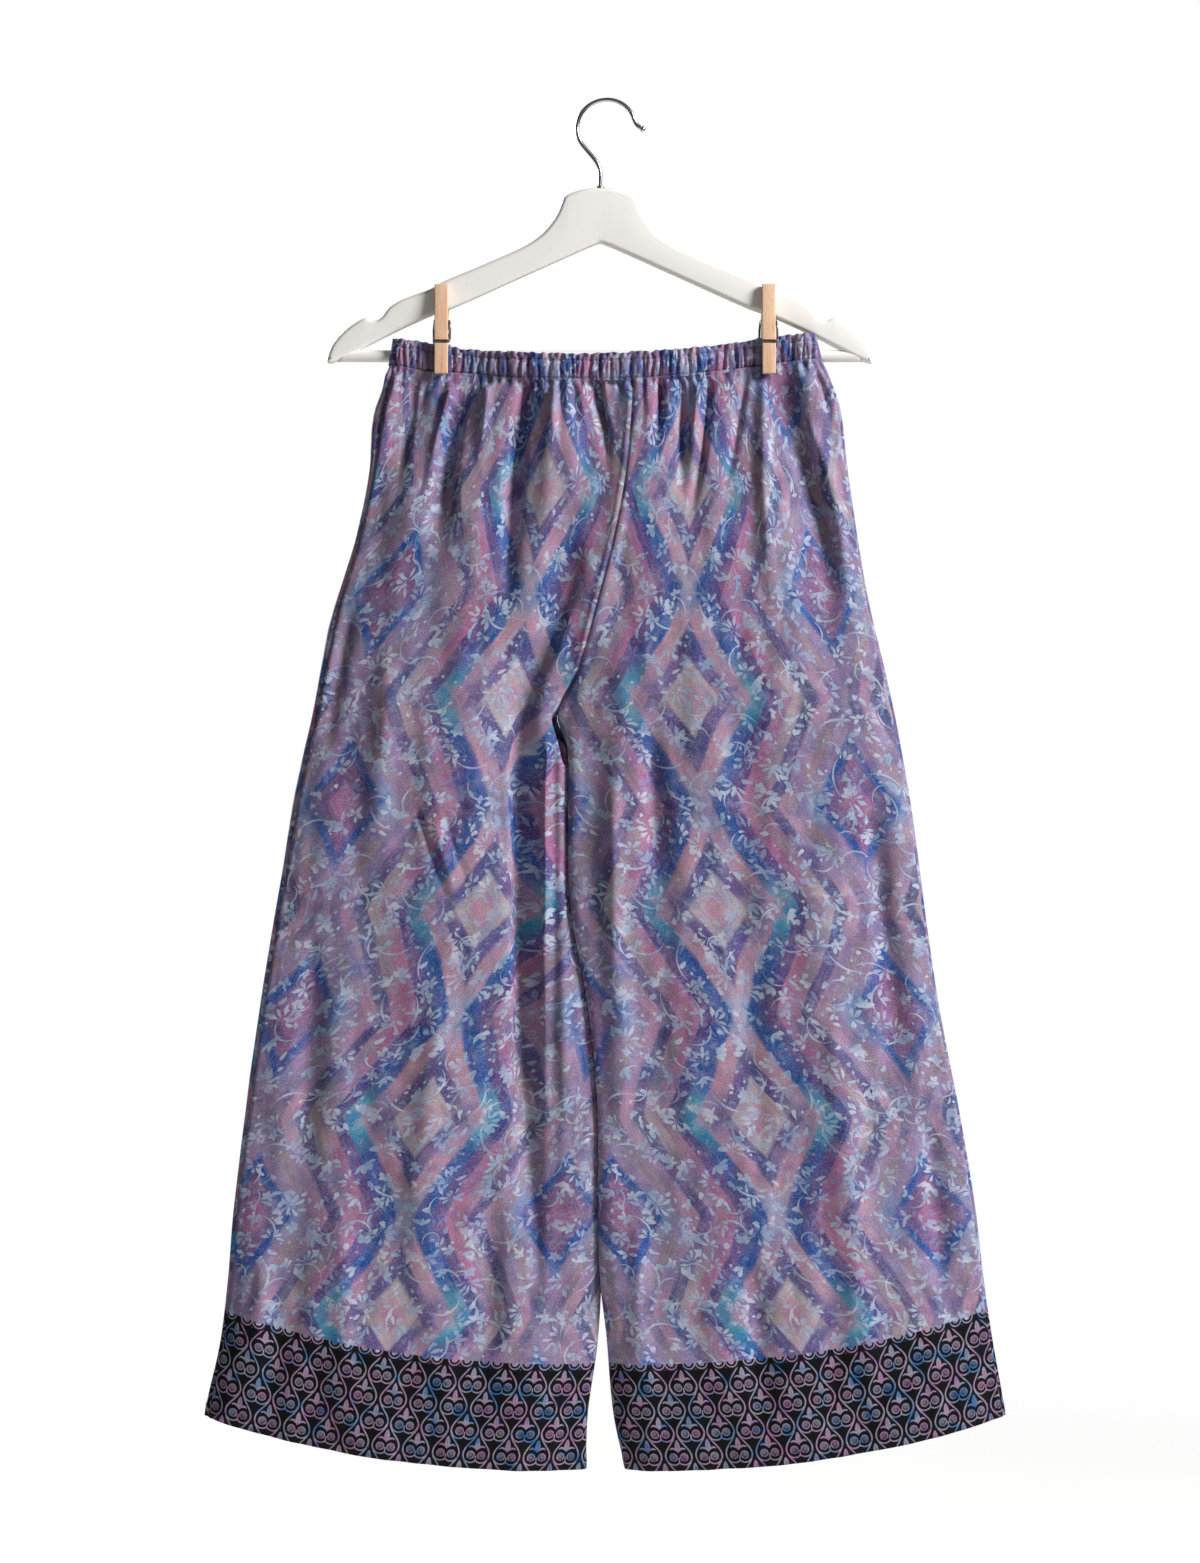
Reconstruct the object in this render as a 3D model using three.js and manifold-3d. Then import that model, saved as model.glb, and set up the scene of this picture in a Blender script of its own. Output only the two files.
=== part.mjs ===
// Wide-legged palazzo pants with a gathered elastic waist, held by two clothespins on the bar of a
// wooden clothes hanger. Millimetres, +Z up. The front faces -Y and +X is the viewer's right.
// The origin is the inside of the hook's crown, where the hanger rests on its rail.
import * as THREE from 'three';
import * as BufferGeometryUtils from 'three/addons/utils/BufferGeometryUtils.js';
import Module from 'manifold-3d';

const wasm = await Module();
wasm.setup();

// ---------------------------------------------------------------- driving dimensions

const SEAM_GAP = 0.3;             // between neighbouring pieces
const HALF_GAP = SEAM_GAP / 2;
const WAIST_GAP = 0.5;            // between the casing and the panels, whose edges are chords

// Cloth. The pants hang with their front and back on either side of the plane y = HANG_Y.
const CLOTH = 1.4;                // wall of a leg panel
const CASING = 2.4;               // wall of the waist casing: two layers of cloth round an elastic
const HANG_Y = -7.6;
const ROUNDNESS = 0.6;            // lower is a flatter tube with blunter side folds
const CROTCH_Z = -488;            // where the centre seam meets the inseams
const CROTCH_RISE = 75;           // height over which the two legs part
const GATHER_FALL = 130;          // height over which the cloth fills out below the waist
const PANEL_COLUMNS = 20;
const CASING_COLUMNS = 40;
const CASING_END_ROUND = 6;       // how far in from its ends the casing is rounded
const HEADER_SHARE = 0.26;        // of the casing's height: the ruffle above its upper stitch line
const BACK_DROP = 2;              // how much lower the casing's upper edge is at the back
const CASING_MID_Z = -205;        // about the middle of its height
const MOUTH_BULGE = 12;           // how far the casing's front falls open between the clothespins
const MOUTH_HALF = 112;           // half the width of that opening
const MOUTH_SLOPE = 60;           // width over which it opens
const EAR_BULGE = 3;              // how far the casing's front swells outside the clothespins
const EAR_X = 145;
const EAR_SLOPE = 12;
const SEAM_CLEAR = 0.15;          // share of a panel's width that folds keep clear of its seams

// Hanger.
const ARM_THICK = 11;
const ARM_EDGE = 1.5;             // rounding of the arm's edges
const NECK_TOP_Z = -68.6;         // top of the arm, where the hook goes in
const HANGER_X = -4;              // centre line of the hanger and of the hook's shank
const BAR_RADIUS = 4.75;
const BAR_Z = -202.2;
const BAR_HALF = 213;
const WIRE_RADIUS = 1.6;          // hook
const SHANK_DEPTH = 13;           // length of the shank inside the wood
const DRILL_LENGTH = 30;          // of the cutter that makes the shank's hole
const HOOK_RADIUS = 22.2;         // centre line, at the crown
const HOOK_FLARE = 2.2;           // how much wider the arc is where it ends
const HOOK_TIP_RADIUS = 2.2;
const HOOK_START = 211;           // degrees round the crown's centre, where the arc begins
const HOOK_END = 14;              // and where it ends

// Clothespins.
const PIN_X = 130;                // left and right of the origin
const PIN_WIDTH = 10.6;
const PIN_LENGTH = 72;
const PIN_TOP_Z = -146;
const PIN_JAW_THICK = 5.2;
const PIN_MID_THICK = 6.5;
const PIN_HANDLE_THICK = 4.8;
const GROOVE_Z = -192.3;          // groove of the spring's front bar
const GROOVE_WIDTH = 3;
const GROOVE_DEPTH = 1.6;
const SPRING_WIRE = 0.95;         // radius
const COIL_Z = -181;
const COIL_TURNS = 3.5;
const PIN_BEVEL = 0.8;            // of a leg's end edges
const PIN_SHOULDER = 12;          // height over which a leg thins from its middle to its handle
const SPRING_CLEAR = 0.5;         // between the wire and the wood

// ---------------------------------------------------------------- cloth tables

// Edges of the pants seen from the front, by height: the two side seams and, between them, the
// centre seam, which below the crotch becomes the inner edges of the two legs.
const OUTLINE = [
  { z: -180, left: -167.5, innerLeft: 22, innerRight: 22, right: 166.5 },
  { z: -205, left: -171.3, innerLeft: 22, innerRight: 22, right: 172.5 },
  { z: -225, left: -175.5, innerLeft: 22, innerRight: 22, right: 180 },
  { z: -250, left: -182, innerLeft: 21, innerRight: 21, right: 186.5 },
  { z: -300, left: -187.8, innerLeft: 16, innerRight: 16, right: 193.3 },
  { z: -350, left: -198.5, innerLeft: 6.5, innerRight: 6.5, right: 200.6 },
  { z: -400, left: -214.5, innerLeft: -6.5, innerRight: -6.5, right: 209.5 },
  { z: -450, left: -225.5, innerLeft: -20.5, innerRight: -20.5, right: 220.8 },
  { z: -488, left: -232.5, innerLeft: -38, innerRight: -38, right: 229.6 },
  { z: -515, left: -238.5, innerLeft: -29, innerRight: -29, right: 234.8 },
  { z: -560, left: -247.5, innerLeft: -28.3, innerRight: -28.3, right: 242.6 },
  { z: -640, left: -261, innerLeft: -26.5, innerRight: -26.5, right: 253.3 },
  { z: -720, left: -274, innerLeft: -12.5, innerRight: -12.5, right: 265 },
  { z: -800, left: -285, innerLeft: -5, innerRight: -5, right: 280.5 },
  { z: -880, left: -295, innerLeft: -4.6, innerRight: -4.6, right: 293.6 },
  { z: -935, left: -299.5, innerLeft: -3.8, innerRight: -3, right: 300 },
  { z: -985, left: -305.5, innerLeft: -5.5, innerRight: 1.2, right: 307.3 },
  { z: -1044, left: -317.2, innerLeft: -13.5, innerRight: 6.5, right: 317.2 },
  { z: -1090, left: -320, innerLeft: -15, innerRight: 16.5, right: 320 },
];

// How far the cloth stands forward and back of y = HANG_Y in the middle of a section.
const FULLNESS = [
  { z: -205, front: 18, back: 12 },
  { z: -320, front: 23, back: 17 },
  { z: -488, front: 21, back: 18 },
  { z: -720, front: 18, back: 17 },
  { z: -935, front: 19, back: 18 },
  { z: -1090, front: 22, back: 20 },
];

// The upper and lower edges of the waist casing, which sags between the clothespins.
const CASING_EDGE = [
  { x: -175, top: -188.4, bottom: -210 },
  { x: -150, top: -191.3, bottom: -215.5 },
  { x: -130, top: -194.8, bottom: -217.4 },
  { x: -100, top: -199.2, bottom: -219.2 },
  { x: -60, top: -201.4, bottom: -223 },
  { x: -20, top: -202.6, bottom: -223.3 },
  { x: 22, top: -201.2, bottom: -223.2 },
  { x: 62, top: -198.6, bottom: -220.5 },
  { x: 100, top: -193, bottom: -215.6 },
  { x: 130, top: -188.4, bottom: -211.4 },
  { x: 155, top: -186, bottom: -208 },
  { x: 175, top: -184.6, bottom: -206.2 },
];

// Height of the inner seam's points, from the waist to the hem. Every row of a panel's mesh runs
// from one of them to the side seam.
const LEVELS = [
  -223.8, -236, -252, -275, -305, -345, -388, -425, -455, -475, -488, -500,
  -515, -545, -600, -670, -745, -825, -905, -965, -1015, -1055, -1086.5,
];

const HEM_CORNER_Z = -1044;       // the hem at the side seams
const HEM_CURVE = 2.2;            // how soon the hem comes down from that corner

// The largest folds: each runs down the cloth from its top to its low end, halfWidth to each side.
// A trough has a negative rise.
const FRONT_FOLDS = [
  { xTop: -148, zTop: -215, xLow: -168, zLow: -330, halfWidth: 20, rise: -5 },
  { xTop: -108, zTop: -215, xLow: -122, zLow: -430, halfWidth: 26, rise: 3 },
  { xTop: -62, zTop: -220, xLow: -70, zLow: -400, halfWidth: 22, rise: -4 },
  { xTop: -10, zTop: -220, xLow: -10, zLow: -330, halfWidth: 18, rise: -5 },
  { xTop: 60, zTop: -218, xLow: 70, zLow: -360, halfWidth: 22, rise: -4 },
  { xTop: 140, zTop: -210, xLow: 192, zLow: -520, halfWidth: 26, rise: -6 },
  { xTop: -54, zTop: -470, xLow: -52, zLow: -980, halfWidth: 22, rise: -9 },
  { xTop: 40, zTop: -620, xLow: 62, zLow: -1080, halfWidth: 40, rise: -4 },
  { xTop: 150, zTop: -560, xLow: 196, zLow: -1085, halfWidth: 44, rise: 3 },
  { xTop: -170, zTop: -500, xLow: -196, zLow: -1085, halfWidth: 44, rise: -3 },
];

const BACK_FOLDS = [
  { xTop: -120, zTop: -215, xLow: -150, zLow: -420, halfWidth: 26, rise: -4 },
  { xTop: -40, zTop: -220, xLow: -46, zLow: -360, halfWidth: 22, rise: -4 },
  { xTop: 70, zTop: -216, xLow: 84, zLow: -400, halfWidth: 24, rise: -4 },
  { xTop: 134, zTop: -212, xLow: 176, zLow: -480, halfWidth: 26, rise: -4 },
  { xTop: -120, zTop: -560, xLow: -150, zLow: -1080, halfWidth: 42, rise: -4 },
  { xTop: 120, zTop: -540, xLow: 150, zLow: -1080, halfWidth: 42, rise: -4 },
];

// ---------------------------------------------------------------- small maths

const mix = (a, b, share) => a + (b - a) * share;
const limit = (value, low, high) => Math.min(high, Math.max(low, value));

function smoothStep(share) {
  const s = limit(share, 0, 1);
  return s * s * (3 - 2 * s);
}

// The named column of a table at a place along its key, on a smooth curve through the rows.
function lookUp(table, key, place, column) {
  const rising = table[1][key] > table[0][key] ? 1 : -1;
  const last = table.length - 1;
  let row = 0;
  while (row < last - 1 && (place - table[row + 1][key]) * rising > 0) row += 1;
  const slope = (a, b) => (table[b][column] - table[a][column]) / (table[b][key] - table[a][key]);
  const span = table[row + 1][key] - table[row][key];
  const share = limit((place - table[row][key]) / span, 0, 1);
  const slopeIn = slope(Math.max(row - 1, 0), row + 1) * span;
  const slopeOut = slope(row, Math.min(row + 2, last)) * span;
  const square = share * share;
  const cube = square * share;
  return (2 * cube - 3 * square + 1) * table[row][column] + (cube - 2 * square + share) * slopeIn
    + (3 * square - 2 * cube) * table[row + 1][column] + (cube - square) * slopeOut;
}

// ---------------------------------------------------------------- meshes and solids

// A closed wall between two grids of points of the same size, the first on the outside.
function wallGeometry(outside, inside) {
  const rows = outside.length;
  const columns = outside[0].length;
  const positions = [...outside, ...inside].flat().flatMap((p) => [p.x, p.y, p.z]);
  const outer = (row, column) => row * columns + column;
  const inner = (row, column) => (rows + row) * columns + column;
  const faces = [];
  const quad = (a, b, c, d) => faces.push(a, b, c, a, c, d);
  for (let row = 0; row < rows - 1; row += 1) {
    for (let column = 0; column < columns - 1; column += 1) {
      quad(outer(row, column), outer(row + 1, column), outer(row + 1, column + 1), outer(row, column + 1));
      quad(inner(row, column), inner(row, column + 1), inner(row + 1, column + 1), inner(row + 1, column));
    }
    quad(outer(row, 0), inner(row, 0), inner(row + 1, 0), outer(row + 1, 0));
    const end = columns - 1;
    quad(outer(row, end), outer(row + 1, end), inner(row + 1, end), inner(row, end));
  }
  for (let column = 0; column < columns - 1; column += 1) {
    quad(outer(0, column), outer(0, column + 1), inner(0, column + 1), inner(0, column));
    const foot = rows - 1;
    quad(outer(foot, column), inner(foot, column), inner(foot, column + 1), outer(foot, column + 1));
  }
  const geometry = new THREE.BufferGeometry();
  geometry.setAttribute('position', new THREE.Float32BufferAttribute(positions, 3));
  geometry.setIndex(faces);
  return geometry;
}

function turnedInsideOut(geometry) {
  const index = geometry.getIndex();
  for (let face = 0; face < index.count; face += 3) {
    const kept = index.getX(face + 1);
    index.setX(face + 1, index.getX(face + 2));
    index.setX(face + 2, kept);
  }
  return geometry;
}

function toSolid(geometry) {
  const bare = geometry.clone();
  bare.deleteAttribute('normal');
  bare.deleteAttribute('uv');
  const merged = BufferGeometryUtils.mergeVertices(bare, 1e-4);
  const mesh = new wasm.Mesh({
    numProp: 3,
    vertProperties: new Float32Array(merged.getAttribute('position').array),
    triVerts: new Uint32Array(merged.getIndex().array),
  });
  return new wasm.Manifold(mesh);
}

function fromSolid(solid) {
  const mesh = solid.getMesh();
  const geometry = new THREE.BufferGeometry();
  geometry.setAttribute('position', new THREE.BufferAttribute(new Float32Array(mesh.vertProperties), 3));
  geometry.setIndex(new THREE.BufferAttribute(new Uint32Array(mesh.triVerts), 1));
  return geometry;
}

// A flat shape drawn in X and Z, given a thickness centred on y = 0.
function plate(shape, thickness, edge, grow = 0) {
  const bevelled = edge > 0 || grow > 0;
  const geometry = new THREE.ExtrudeGeometry(shape, {
    depth: thickness - 2 * edge,
    curveSegments: 6,
    bevelEnabled: bevelled,
    bevelThickness: edge + grow,
    bevelSize: edge + grow,
    bevelOffset: -edge,
    bevelSegments: edge > 0 ? 2 : 1,
  });
  geometry.rotateX(Math.PI / 2);
  geometry.translate(0, thickness / 2 - edge, 0);
  return geometry;
}

function tube(points, radius, sides, steps) {
  const section = new THREE.Shape();
  section.absarc(0, 0, radius, 0, 2 * Math.PI, false);
  return new THREE.ExtrudeGeometry(section, {
    steps,
    curveSegments: sides / 2,
    bevelEnabled: false,
    extrudePath: new THREE.CatmullRomCurve3(points, false, 'centripetal'),
  });
}

// ---------------------------------------------------------------- cloth

function foldRise(folds, x, z) {
  let rise = 0;
  for (const fold of folds) {
    const along = (fold.zTop - z) / (fold.zTop - fold.zLow);
    const across = Math.abs(x - mix(fold.xTop, fold.xLow, along)) / fold.halfWidth;
    if (along > 0 && along < 1 && across < 1) {
      const strength = smoothStep(along / 0.15) * smoothStep((1 - along) / 0.5);
      rise += fold.rise * strength * Math.cos(across * Math.PI / 2) ** 2;
    }
  }
  return rise;
}

// Depth of the casing's outside from y = HANG_Y. Its two layers lie together under the clothespins,
// and in front it falls open between them.
function casingDepth(x, z, face) {
  const toEnd = Math.min(x - lookUp(OUTLINE, 'z', z, 'left'), lookUp(OUTLINE, 'z', z, 'right') - x);
  const rounding = 1 - limit(toEnd / CASING_END_ROUND, 0, 1);
  let depth = (CASING + HALF_GAP) * Math.sqrt(1 - rounding * rounding);
  if (face === 'front') {
    depth += MOUTH_BULGE * smoothStep((MOUTH_HALF - Math.abs(x)) / MOUTH_SLOPE);
    depth += EAR_BULGE * smoothStep((Math.abs(x) - EAR_X) / EAR_SLOPE) * smoothStep(toEnd / EAR_SLOPE);
  }
  return Math.max(depth, HALF_GAP);
}

// A point of one leg's section: share runs from the side seam, 0, to the centre seam or inseam, 1.
// Above the crotch it is a quarter turn of one wide tube, and below it a half turn of the leg's own.
function sectionPoint(z, side, face, share) {
  const outerEdge = lookUp(OUTLINE, 'z', z, side < 0 ? 'left' : 'right');
  const innerEdge = lookUp(OUTLINE, 'z', z, side < 0 ? 'innerLeft' : 'innerRight') + side * HALF_GAP;
  const legShare = 1 - smoothStep((z - CROTCH_Z) / CROTCH_RISE);
  const quarter = share * Math.PI / 2;
  const half = share * Math.PI;
  const across = mix(1 - Math.cos(quarter), (1 - Math.cos(half)) / 2, legShare);
  const x = mix(outerEdge, innerEdge, across);
  const round = mix(Math.sin(quarter) ** ROUNDNESS, Math.abs(Math.sin(half)) ** ROUNDNESS, legShare);
  const full = lookUp(FULLNESS, 'z', z, face) * round;
  const fall = lookUp(CASING_EDGE, 'x', x, 'bottom') - z;
  const filled = mix(casingDepth(x, z, face), full, smoothStep(fall / GATHER_FALL));
  const folds = face === 'front' ? FRONT_FOLDS : BACK_FOLDS;
  const clearOfSeams = smoothStep(share / SEAM_CLEAR) * smoothStep((1 - share) / SEAM_CLEAR);
  const depth = Math.max(filled + foldRise(folds, x, z) * clearOfSeams, HALF_GAP);
  return { x, depth, legShare };
}

// Height of a panel's upper edge, which lies just under the casing's lower edge.
function panelTop(side, face, share) {
  let top = LEVELS[0];
  for (let pass = 0; pass < 3; pass += 1) {
    top = lookUp(CASING_EDGE, 'x', sectionPoint(top, side, face, share).x, 'bottom') - WAIST_GAP;
  }
  return top;
}

// One leg panel, from the casing to the hem.
function panelGeometry(side, face) {
  const forward = face === 'front' ? -1 : 1;
  const outside = [];
  const inside = [];
  const topLevel = LEVELS[0];
  const hemLevel = LEVELS[LEVELS.length - 1];
  for (const level of LEVELS) {
    const down = (topLevel - level) / (topLevel - hemLevel);
    const outerRow = [];
    const innerRow = [];
    for (let column = 0; column <= PANEL_COLUMNS; column += 1) {
      const share = column / PANEL_COLUMNS;
      const top = share === 1 ? topLevel : panelTop(side, face, share);
      const across = (1 - Math.cos(share * Math.PI)) / 2;
      const hem = mix(hemLevel, HEM_CORNER_Z, (1 - across) ** HEM_CURVE);
      const z = mix(top, hem, down);
      const { x, depth, legShare } = sectionPoint(z, side, face, share);
      outerRow.push(new THREE.Vector3(x, HANG_Y + forward * depth, z));
      const shift = -side * CLOTH * ((1 - share) - share * legShare);
      const innerDepth = Math.max(depth - CLOTH, HALF_GAP);
      innerRow.push(new THREE.Vector3(x + shift, HANG_Y + forward * innerDepth, z));
    }
    outside.push(outerRow);
    inside.push(innerRow);
  }
  const geometry = wallGeometry(outside, inside);
  return side * forward > 0 ? geometry : turnedInsideOut(geometry);
}

// A point of the casing's edge: across runs from its left end, 0, to its right end, 1, and down from
// the header ruffle's top, 0, to the lower edge, 1.
function casingPoint(across, down, face) {
  const drop = face === 'front' ? 0 : BACK_DROP;
  let x = 0;
  let z = CASING_MID_Z;
  for (let pass = 0; pass < 3; pass += 1) {
    x = mix(lookUp(OUTLINE, 'z', z, 'left'), lookUp(OUTLINE, 'z', z, 'right'), across);
    z = mix(lookUp(CASING_EDGE, 'x', x, 'top') - drop, lookUp(CASING_EDGE, 'x', x, 'bottom'), down);
  }
  return { x, z };
}

// Half of the elastic casing, from the header ruffle's top to its lower edge.
function casingGeometry(face) {
  const forward = face === 'front' ? -1 : 1;
  const outside = [];
  const inside = [];
  for (const down of [0, HEADER_SHARE, (1 + HEADER_SHARE) / 2, 1]) {
    const outerRow = [];
    const innerRow = [];
    for (let column = 0; column <= CASING_COLUMNS; column += 1) {
      const share = column / CASING_COLUMNS;
      const across = (1 - Math.cos(share * Math.PI)) / 2;
      const { x, z } = casingPoint(across, down, face);
      const depth = casingDepth(x, z, face);
      outerRow.push(new THREE.Vector3(x, HANG_Y + forward * depth, z));
      const innerDepth = Math.max(depth - CASING, HALF_GAP);
      innerRow.push(new THREE.Vector3(x + CASING * (1 - 2 * across), HANG_Y + forward * innerDepth, z));
    }
    outside.push(outerRow);
    inside.push(innerRow);
  }
  const geometry = wallGeometry(outside, inside);
  return face === 'front' ? geometry : turnedInsideOut(geometry);
}

// ---------------------------------------------------------------- hanger

// Half of the arm's outline, as distances from the hanger's centre line and heights, from the top
// of the neck along the shoulder, round the strap notch to the foot, and back under the arm.
function armOutline() {
  const half = [
    [0, NECK_TOP_Z], [11, -69.2], [20, -71.6], [28, -75.6], [30.6, -81], [34, -89.4], [40, -98.6],
    [48, -107], [61, -115.4], [91, -128.9], [123, -142.4], [137, -149.8], [156, -156.8],
    [163, -160.4], [169, -164.8], [173.6, -171], [178.4, -174.3], [183, -173.4], [187.2, -172.2],
    [195, -176.2], [204.6, -183.6], [213.3, -193.9], [217.2, -204.5], [216.4, -208],
    [211.7, -207.3], [190.3, -196.9], [161, -182.2], [132.4, -169.3], [119.7, -165.1],
    [60, -138.4], [12, -116.9], [0, -112.2],
  ];
  const shape = new THREE.Shape();
  shape.moveTo(HANGER_X, half[0][1]);
  for (const [away, z] of half.slice(1)) shape.lineTo(HANGER_X + away, z);
  for (const [away, z] of half.slice(1, -1).reverse()) shape.lineTo(HANGER_X - away, z);
  shape.closePath();
  return shape;
}

function hangerBodyGeometry() {
  const wood = toSolid(plate(armOutline(), ARM_THICK, ARM_EDGE));
  const drillRadius = WIRE_RADIUS + SEAM_GAP;
  const drill = new THREE.CylinderGeometry(drillRadius, drillRadius, DRILL_LENGTH, 12);
  drill.rotateX(Math.PI / 2);
  drill.translate(HANGER_X, 0, NECK_TOP_Z - SHANK_DEPTH - SEAM_GAP + DRILL_LENGTH / 2);
  return fromSolid(wood.subtract(toSolid(drill)));
}

function barGeometry() {
  const rod = new THREE.CylinderGeometry(BAR_RADIUS, BAR_RADIUS, 2 * BAR_HALF, 20);
  rod.rotateZ(Math.PI / 2);
  rod.translate(HANGER_X, 0, BAR_Z);
  const around = toSolid(plate(armOutline(), ARM_THICK, 0, SEAM_GAP));
  return fromSolid(toSolid(rod).subtract(around));
}

function hookGeometry() {
  const centreZ = WIRE_RADIUS - HOOK_RADIUS;
  const points = [
    new THREE.Vector3(HANGER_X, 0, NECK_TOP_Z - SHANK_DEPTH),
    new THREE.Vector3(HANGER_X, 0, -66),
    new THREE.Vector3(HANGER_X, 0, -54),
    new THREE.Vector3(-6.6, 0, -47.6),
    new THREE.Vector3(-13, 0, -39.6),
  ];
  const stations = 12;
  for (let station = 0; station <= stations; station += 1) {
    const share = station / stations;
    const angle = THREE.MathUtils.degToRad(mix(HOOK_START, HOOK_END, share));
    const radius = HOOK_RADIUS + HOOK_FLARE * smoothStep(share * 2 - 0.9);
    points.push(new THREE.Vector3(Math.cos(angle) * radius, 0, centreZ + Math.sin(angle) * radius));
  }
  points.push(new THREE.Vector3(26, 0, -18.4), new THREE.Vector3(29.6, 0, -20.9));
  const tip = new THREE.SphereGeometry(HOOK_TIP_RADIUS, 10, 8);
  tip.translate(30, 0, -21.1);
  return fromSolid(toSolid(tube(points, WIRE_RADIUS, 8, 56)).add(toSolid(tip)));
}

// ---------------------------------------------------------------- clothespins

// Distance of a leg's inner face from y = 0 at a height. The front leg leans out over the cloth.
const frontFace = (z) => -6.3 + (z - PIN_TOP_Z) * 0.1;
const backFace = (z) => 5.9 + (z - PIN_TOP_Z) * 0.004;

function pinLegGeometry(face) {
  const outward = face === 'front' ? -1 : 1;
  const inner = face === 'front' ? frontFace : backFace;
  const bottom = PIN_TOP_Z - PIN_LENGTH;
  const at = (z, thick) => [inner(z) + outward * thick, z];
  const low = GROOVE_Z - GROOVE_WIDTH / 2;
  const high = GROOVE_Z + GROOVE_WIDTH / 2;
  const outline = [
    at(bottom, PIN_BEVEL), at(bottom + PIN_BEVEL, 0),
    at(PIN_TOP_Z - PIN_BEVEL, 0), at(PIN_TOP_Z, PIN_BEVEL),
    at(PIN_TOP_Z, PIN_HANDLE_THICK - PIN_BEVEL), at(PIN_TOP_Z - PIN_BEVEL, PIN_HANDLE_THICK),
    at(high + PIN_SHOULDER, PIN_MID_THICK), at(high, PIN_MID_THICK), at(high, PIN_MID_THICK - GROOVE_DEPTH),
    at(low, PIN_MID_THICK - GROOVE_DEPTH), at(low, PIN_MID_THICK),
    at(bottom + PIN_BEVEL, PIN_JAW_THICK), at(bottom, PIN_JAW_THICK - PIN_BEVEL),
  ];
  const shape = new THREE.Shape(outline.map(([y, z]) => new THREE.Vector2(y, z)));
  const geometry = new THREE.ExtrudeGeometry(shape, { depth: PIN_WIDTH, bevelEnabled: false });
  // The shape's own axes X, Y and Z become Y, Z and X.
  geometry.applyMatrix4(new THREE.Matrix4().set(0, 0, 1, 0, 1, 0, 0, 0, 0, 1, 0, 0, 0, 0, 0, 1));
  geometry.translate(-PIN_WIDTH / 2, 0, 0);
  return geometry;
}

// One wire: a bar in the front leg's groove, a coil between the legs and a bar behind the back leg.
function pinSpringGeometry() {
  const gap = backFace(COIL_Z) - frontFace(COIL_Z);
  const coilY = (backFace(COIL_Z) + frontFace(COIL_Z)) / 2;
  const coilRadius = gap / 2 - SEAM_GAP - SPRING_WIRE;
  const sideX = PIN_WIDTH / 2 + SPRING_CLEAR + SPRING_WIRE;
  const seat = PIN_MID_THICK - GROOVE_DEPTH + SPRING_CLEAR + SPRING_WIRE;
  const frontY = frontFace(GROOVE_Z) - seat;
  const backY = backFace(GROOVE_Z) + seat;
  const points = [
    new THREE.Vector3(-sideX, frontY, GROOVE_Z),
    new THREE.Vector3(0, frontY, GROOVE_Z),
    new THREE.Vector3(sideX - 0.6, frontY, GROOVE_Z),
    new THREE.Vector3(sideX, frontY + 0.8, GROOVE_Z + 1.6),
    new THREE.Vector3(sideX, coilY - coilRadius - 3, COIL_Z - 5),
  ];
  const stations = Math.round(COIL_TURNS * 10);
  for (let station = 0; station <= stations; station += 1) {
    const share = station / stations;
    const angle = Math.PI - share * COIL_TURNS * 2 * Math.PI;
    const y = coilY + Math.cos(angle) * coilRadius;
    points.push(new THREE.Vector3(mix(sideX, -sideX, share), y, COIL_Z + Math.sin(angle) * coilRadius));
  }
  points.push(
    new THREE.Vector3(-sideX, coilY + coilRadius + 2, COIL_Z - 5),
    new THREE.Vector3(-sideX, backY - 0.8, GROOVE_Z + 1.6),
    new THREE.Vector3(0.6 - sideX, backY, GROOVE_Z),
    new THREE.Vector3(0, backY, GROOVE_Z),
    new THREE.Vector3(sideX, backY, GROOVE_Z),
  );
  return tube(points, SPRING_WIRE, 6, 60);
}

// ---------------------------------------------------------------- the assembly

const model = new THREE.Group();

function addPiece(parent, name, geometry, material) {
  const mesh = new THREE.Mesh(geometry, material.clone());
  mesh.name = name;
  parent.add(mesh);
}

const clothMaterial = new THREE.MeshStandardMaterial({ color: 0x7d76a3, roughness: 0.85, metalness: 0 });
const casingMaterial = new THREE.MeshStandardMaterial({ color: 0x6c6796, roughness: 0.85, metalness: 0 });
const paintMaterial = new THREE.MeshStandardMaterial({ color: 0xebe8e4, roughness: 0.45, metalness: 0 });
const steelMaterial = new THREE.MeshStandardMaterial({ color: 0xb9bbbd, roughness: 0.25, metalness: 1 });
const beechMaterial = new THREE.MeshStandardMaterial({ color: 0xdcb285, roughness: 0.7, metalness: 0 });

const pants = new THREE.Group();
for (const face of ['front', 'back']) {
  addPiece(pants, `panel_${face}_left`, panelGeometry(-1, face), clothMaterial);
  addPiece(pants, `panel_${face}_right`, panelGeometry(1, face), clothMaterial);
  addPiece(pants, `casing_${face}`, casingGeometry(face), casingMaterial);
}
model.add(pants);

const hanger = new THREE.Group();
addPiece(hanger, 'hanger_body', hangerBodyGeometry(), paintMaterial);
addPiece(hanger, 'hanger_bar', barGeometry(), paintMaterial);
addPiece(hanger, 'hanger_hook', hookGeometry(), steelMaterial);
model.add(hanger);

for (const [name, x] of [['left', -PIN_X], ['right', PIN_X]]) {
  const pin = new THREE.Group();
  pin.position.x = x;
  addPiece(pin, `pin_${name}_front`, pinLegGeometry('front'), beechMaterial);
  addPiece(pin, `pin_${name}_back`, pinLegGeometry('back'), beechMaterial);
  addPiece(pin, `pin_${name}_spring`, pinSpringGeometry(), steelMaterial);
  model.add(pin);
}

export default model;
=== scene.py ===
# Palazzo pants on a wooden clothes hanger, in metres. +Z up, the front faces -Y and +X is the
# viewer's right. The origin is inside the hook's crown. The tables below are in millimetres.
import math
from functools import reduce

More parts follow.
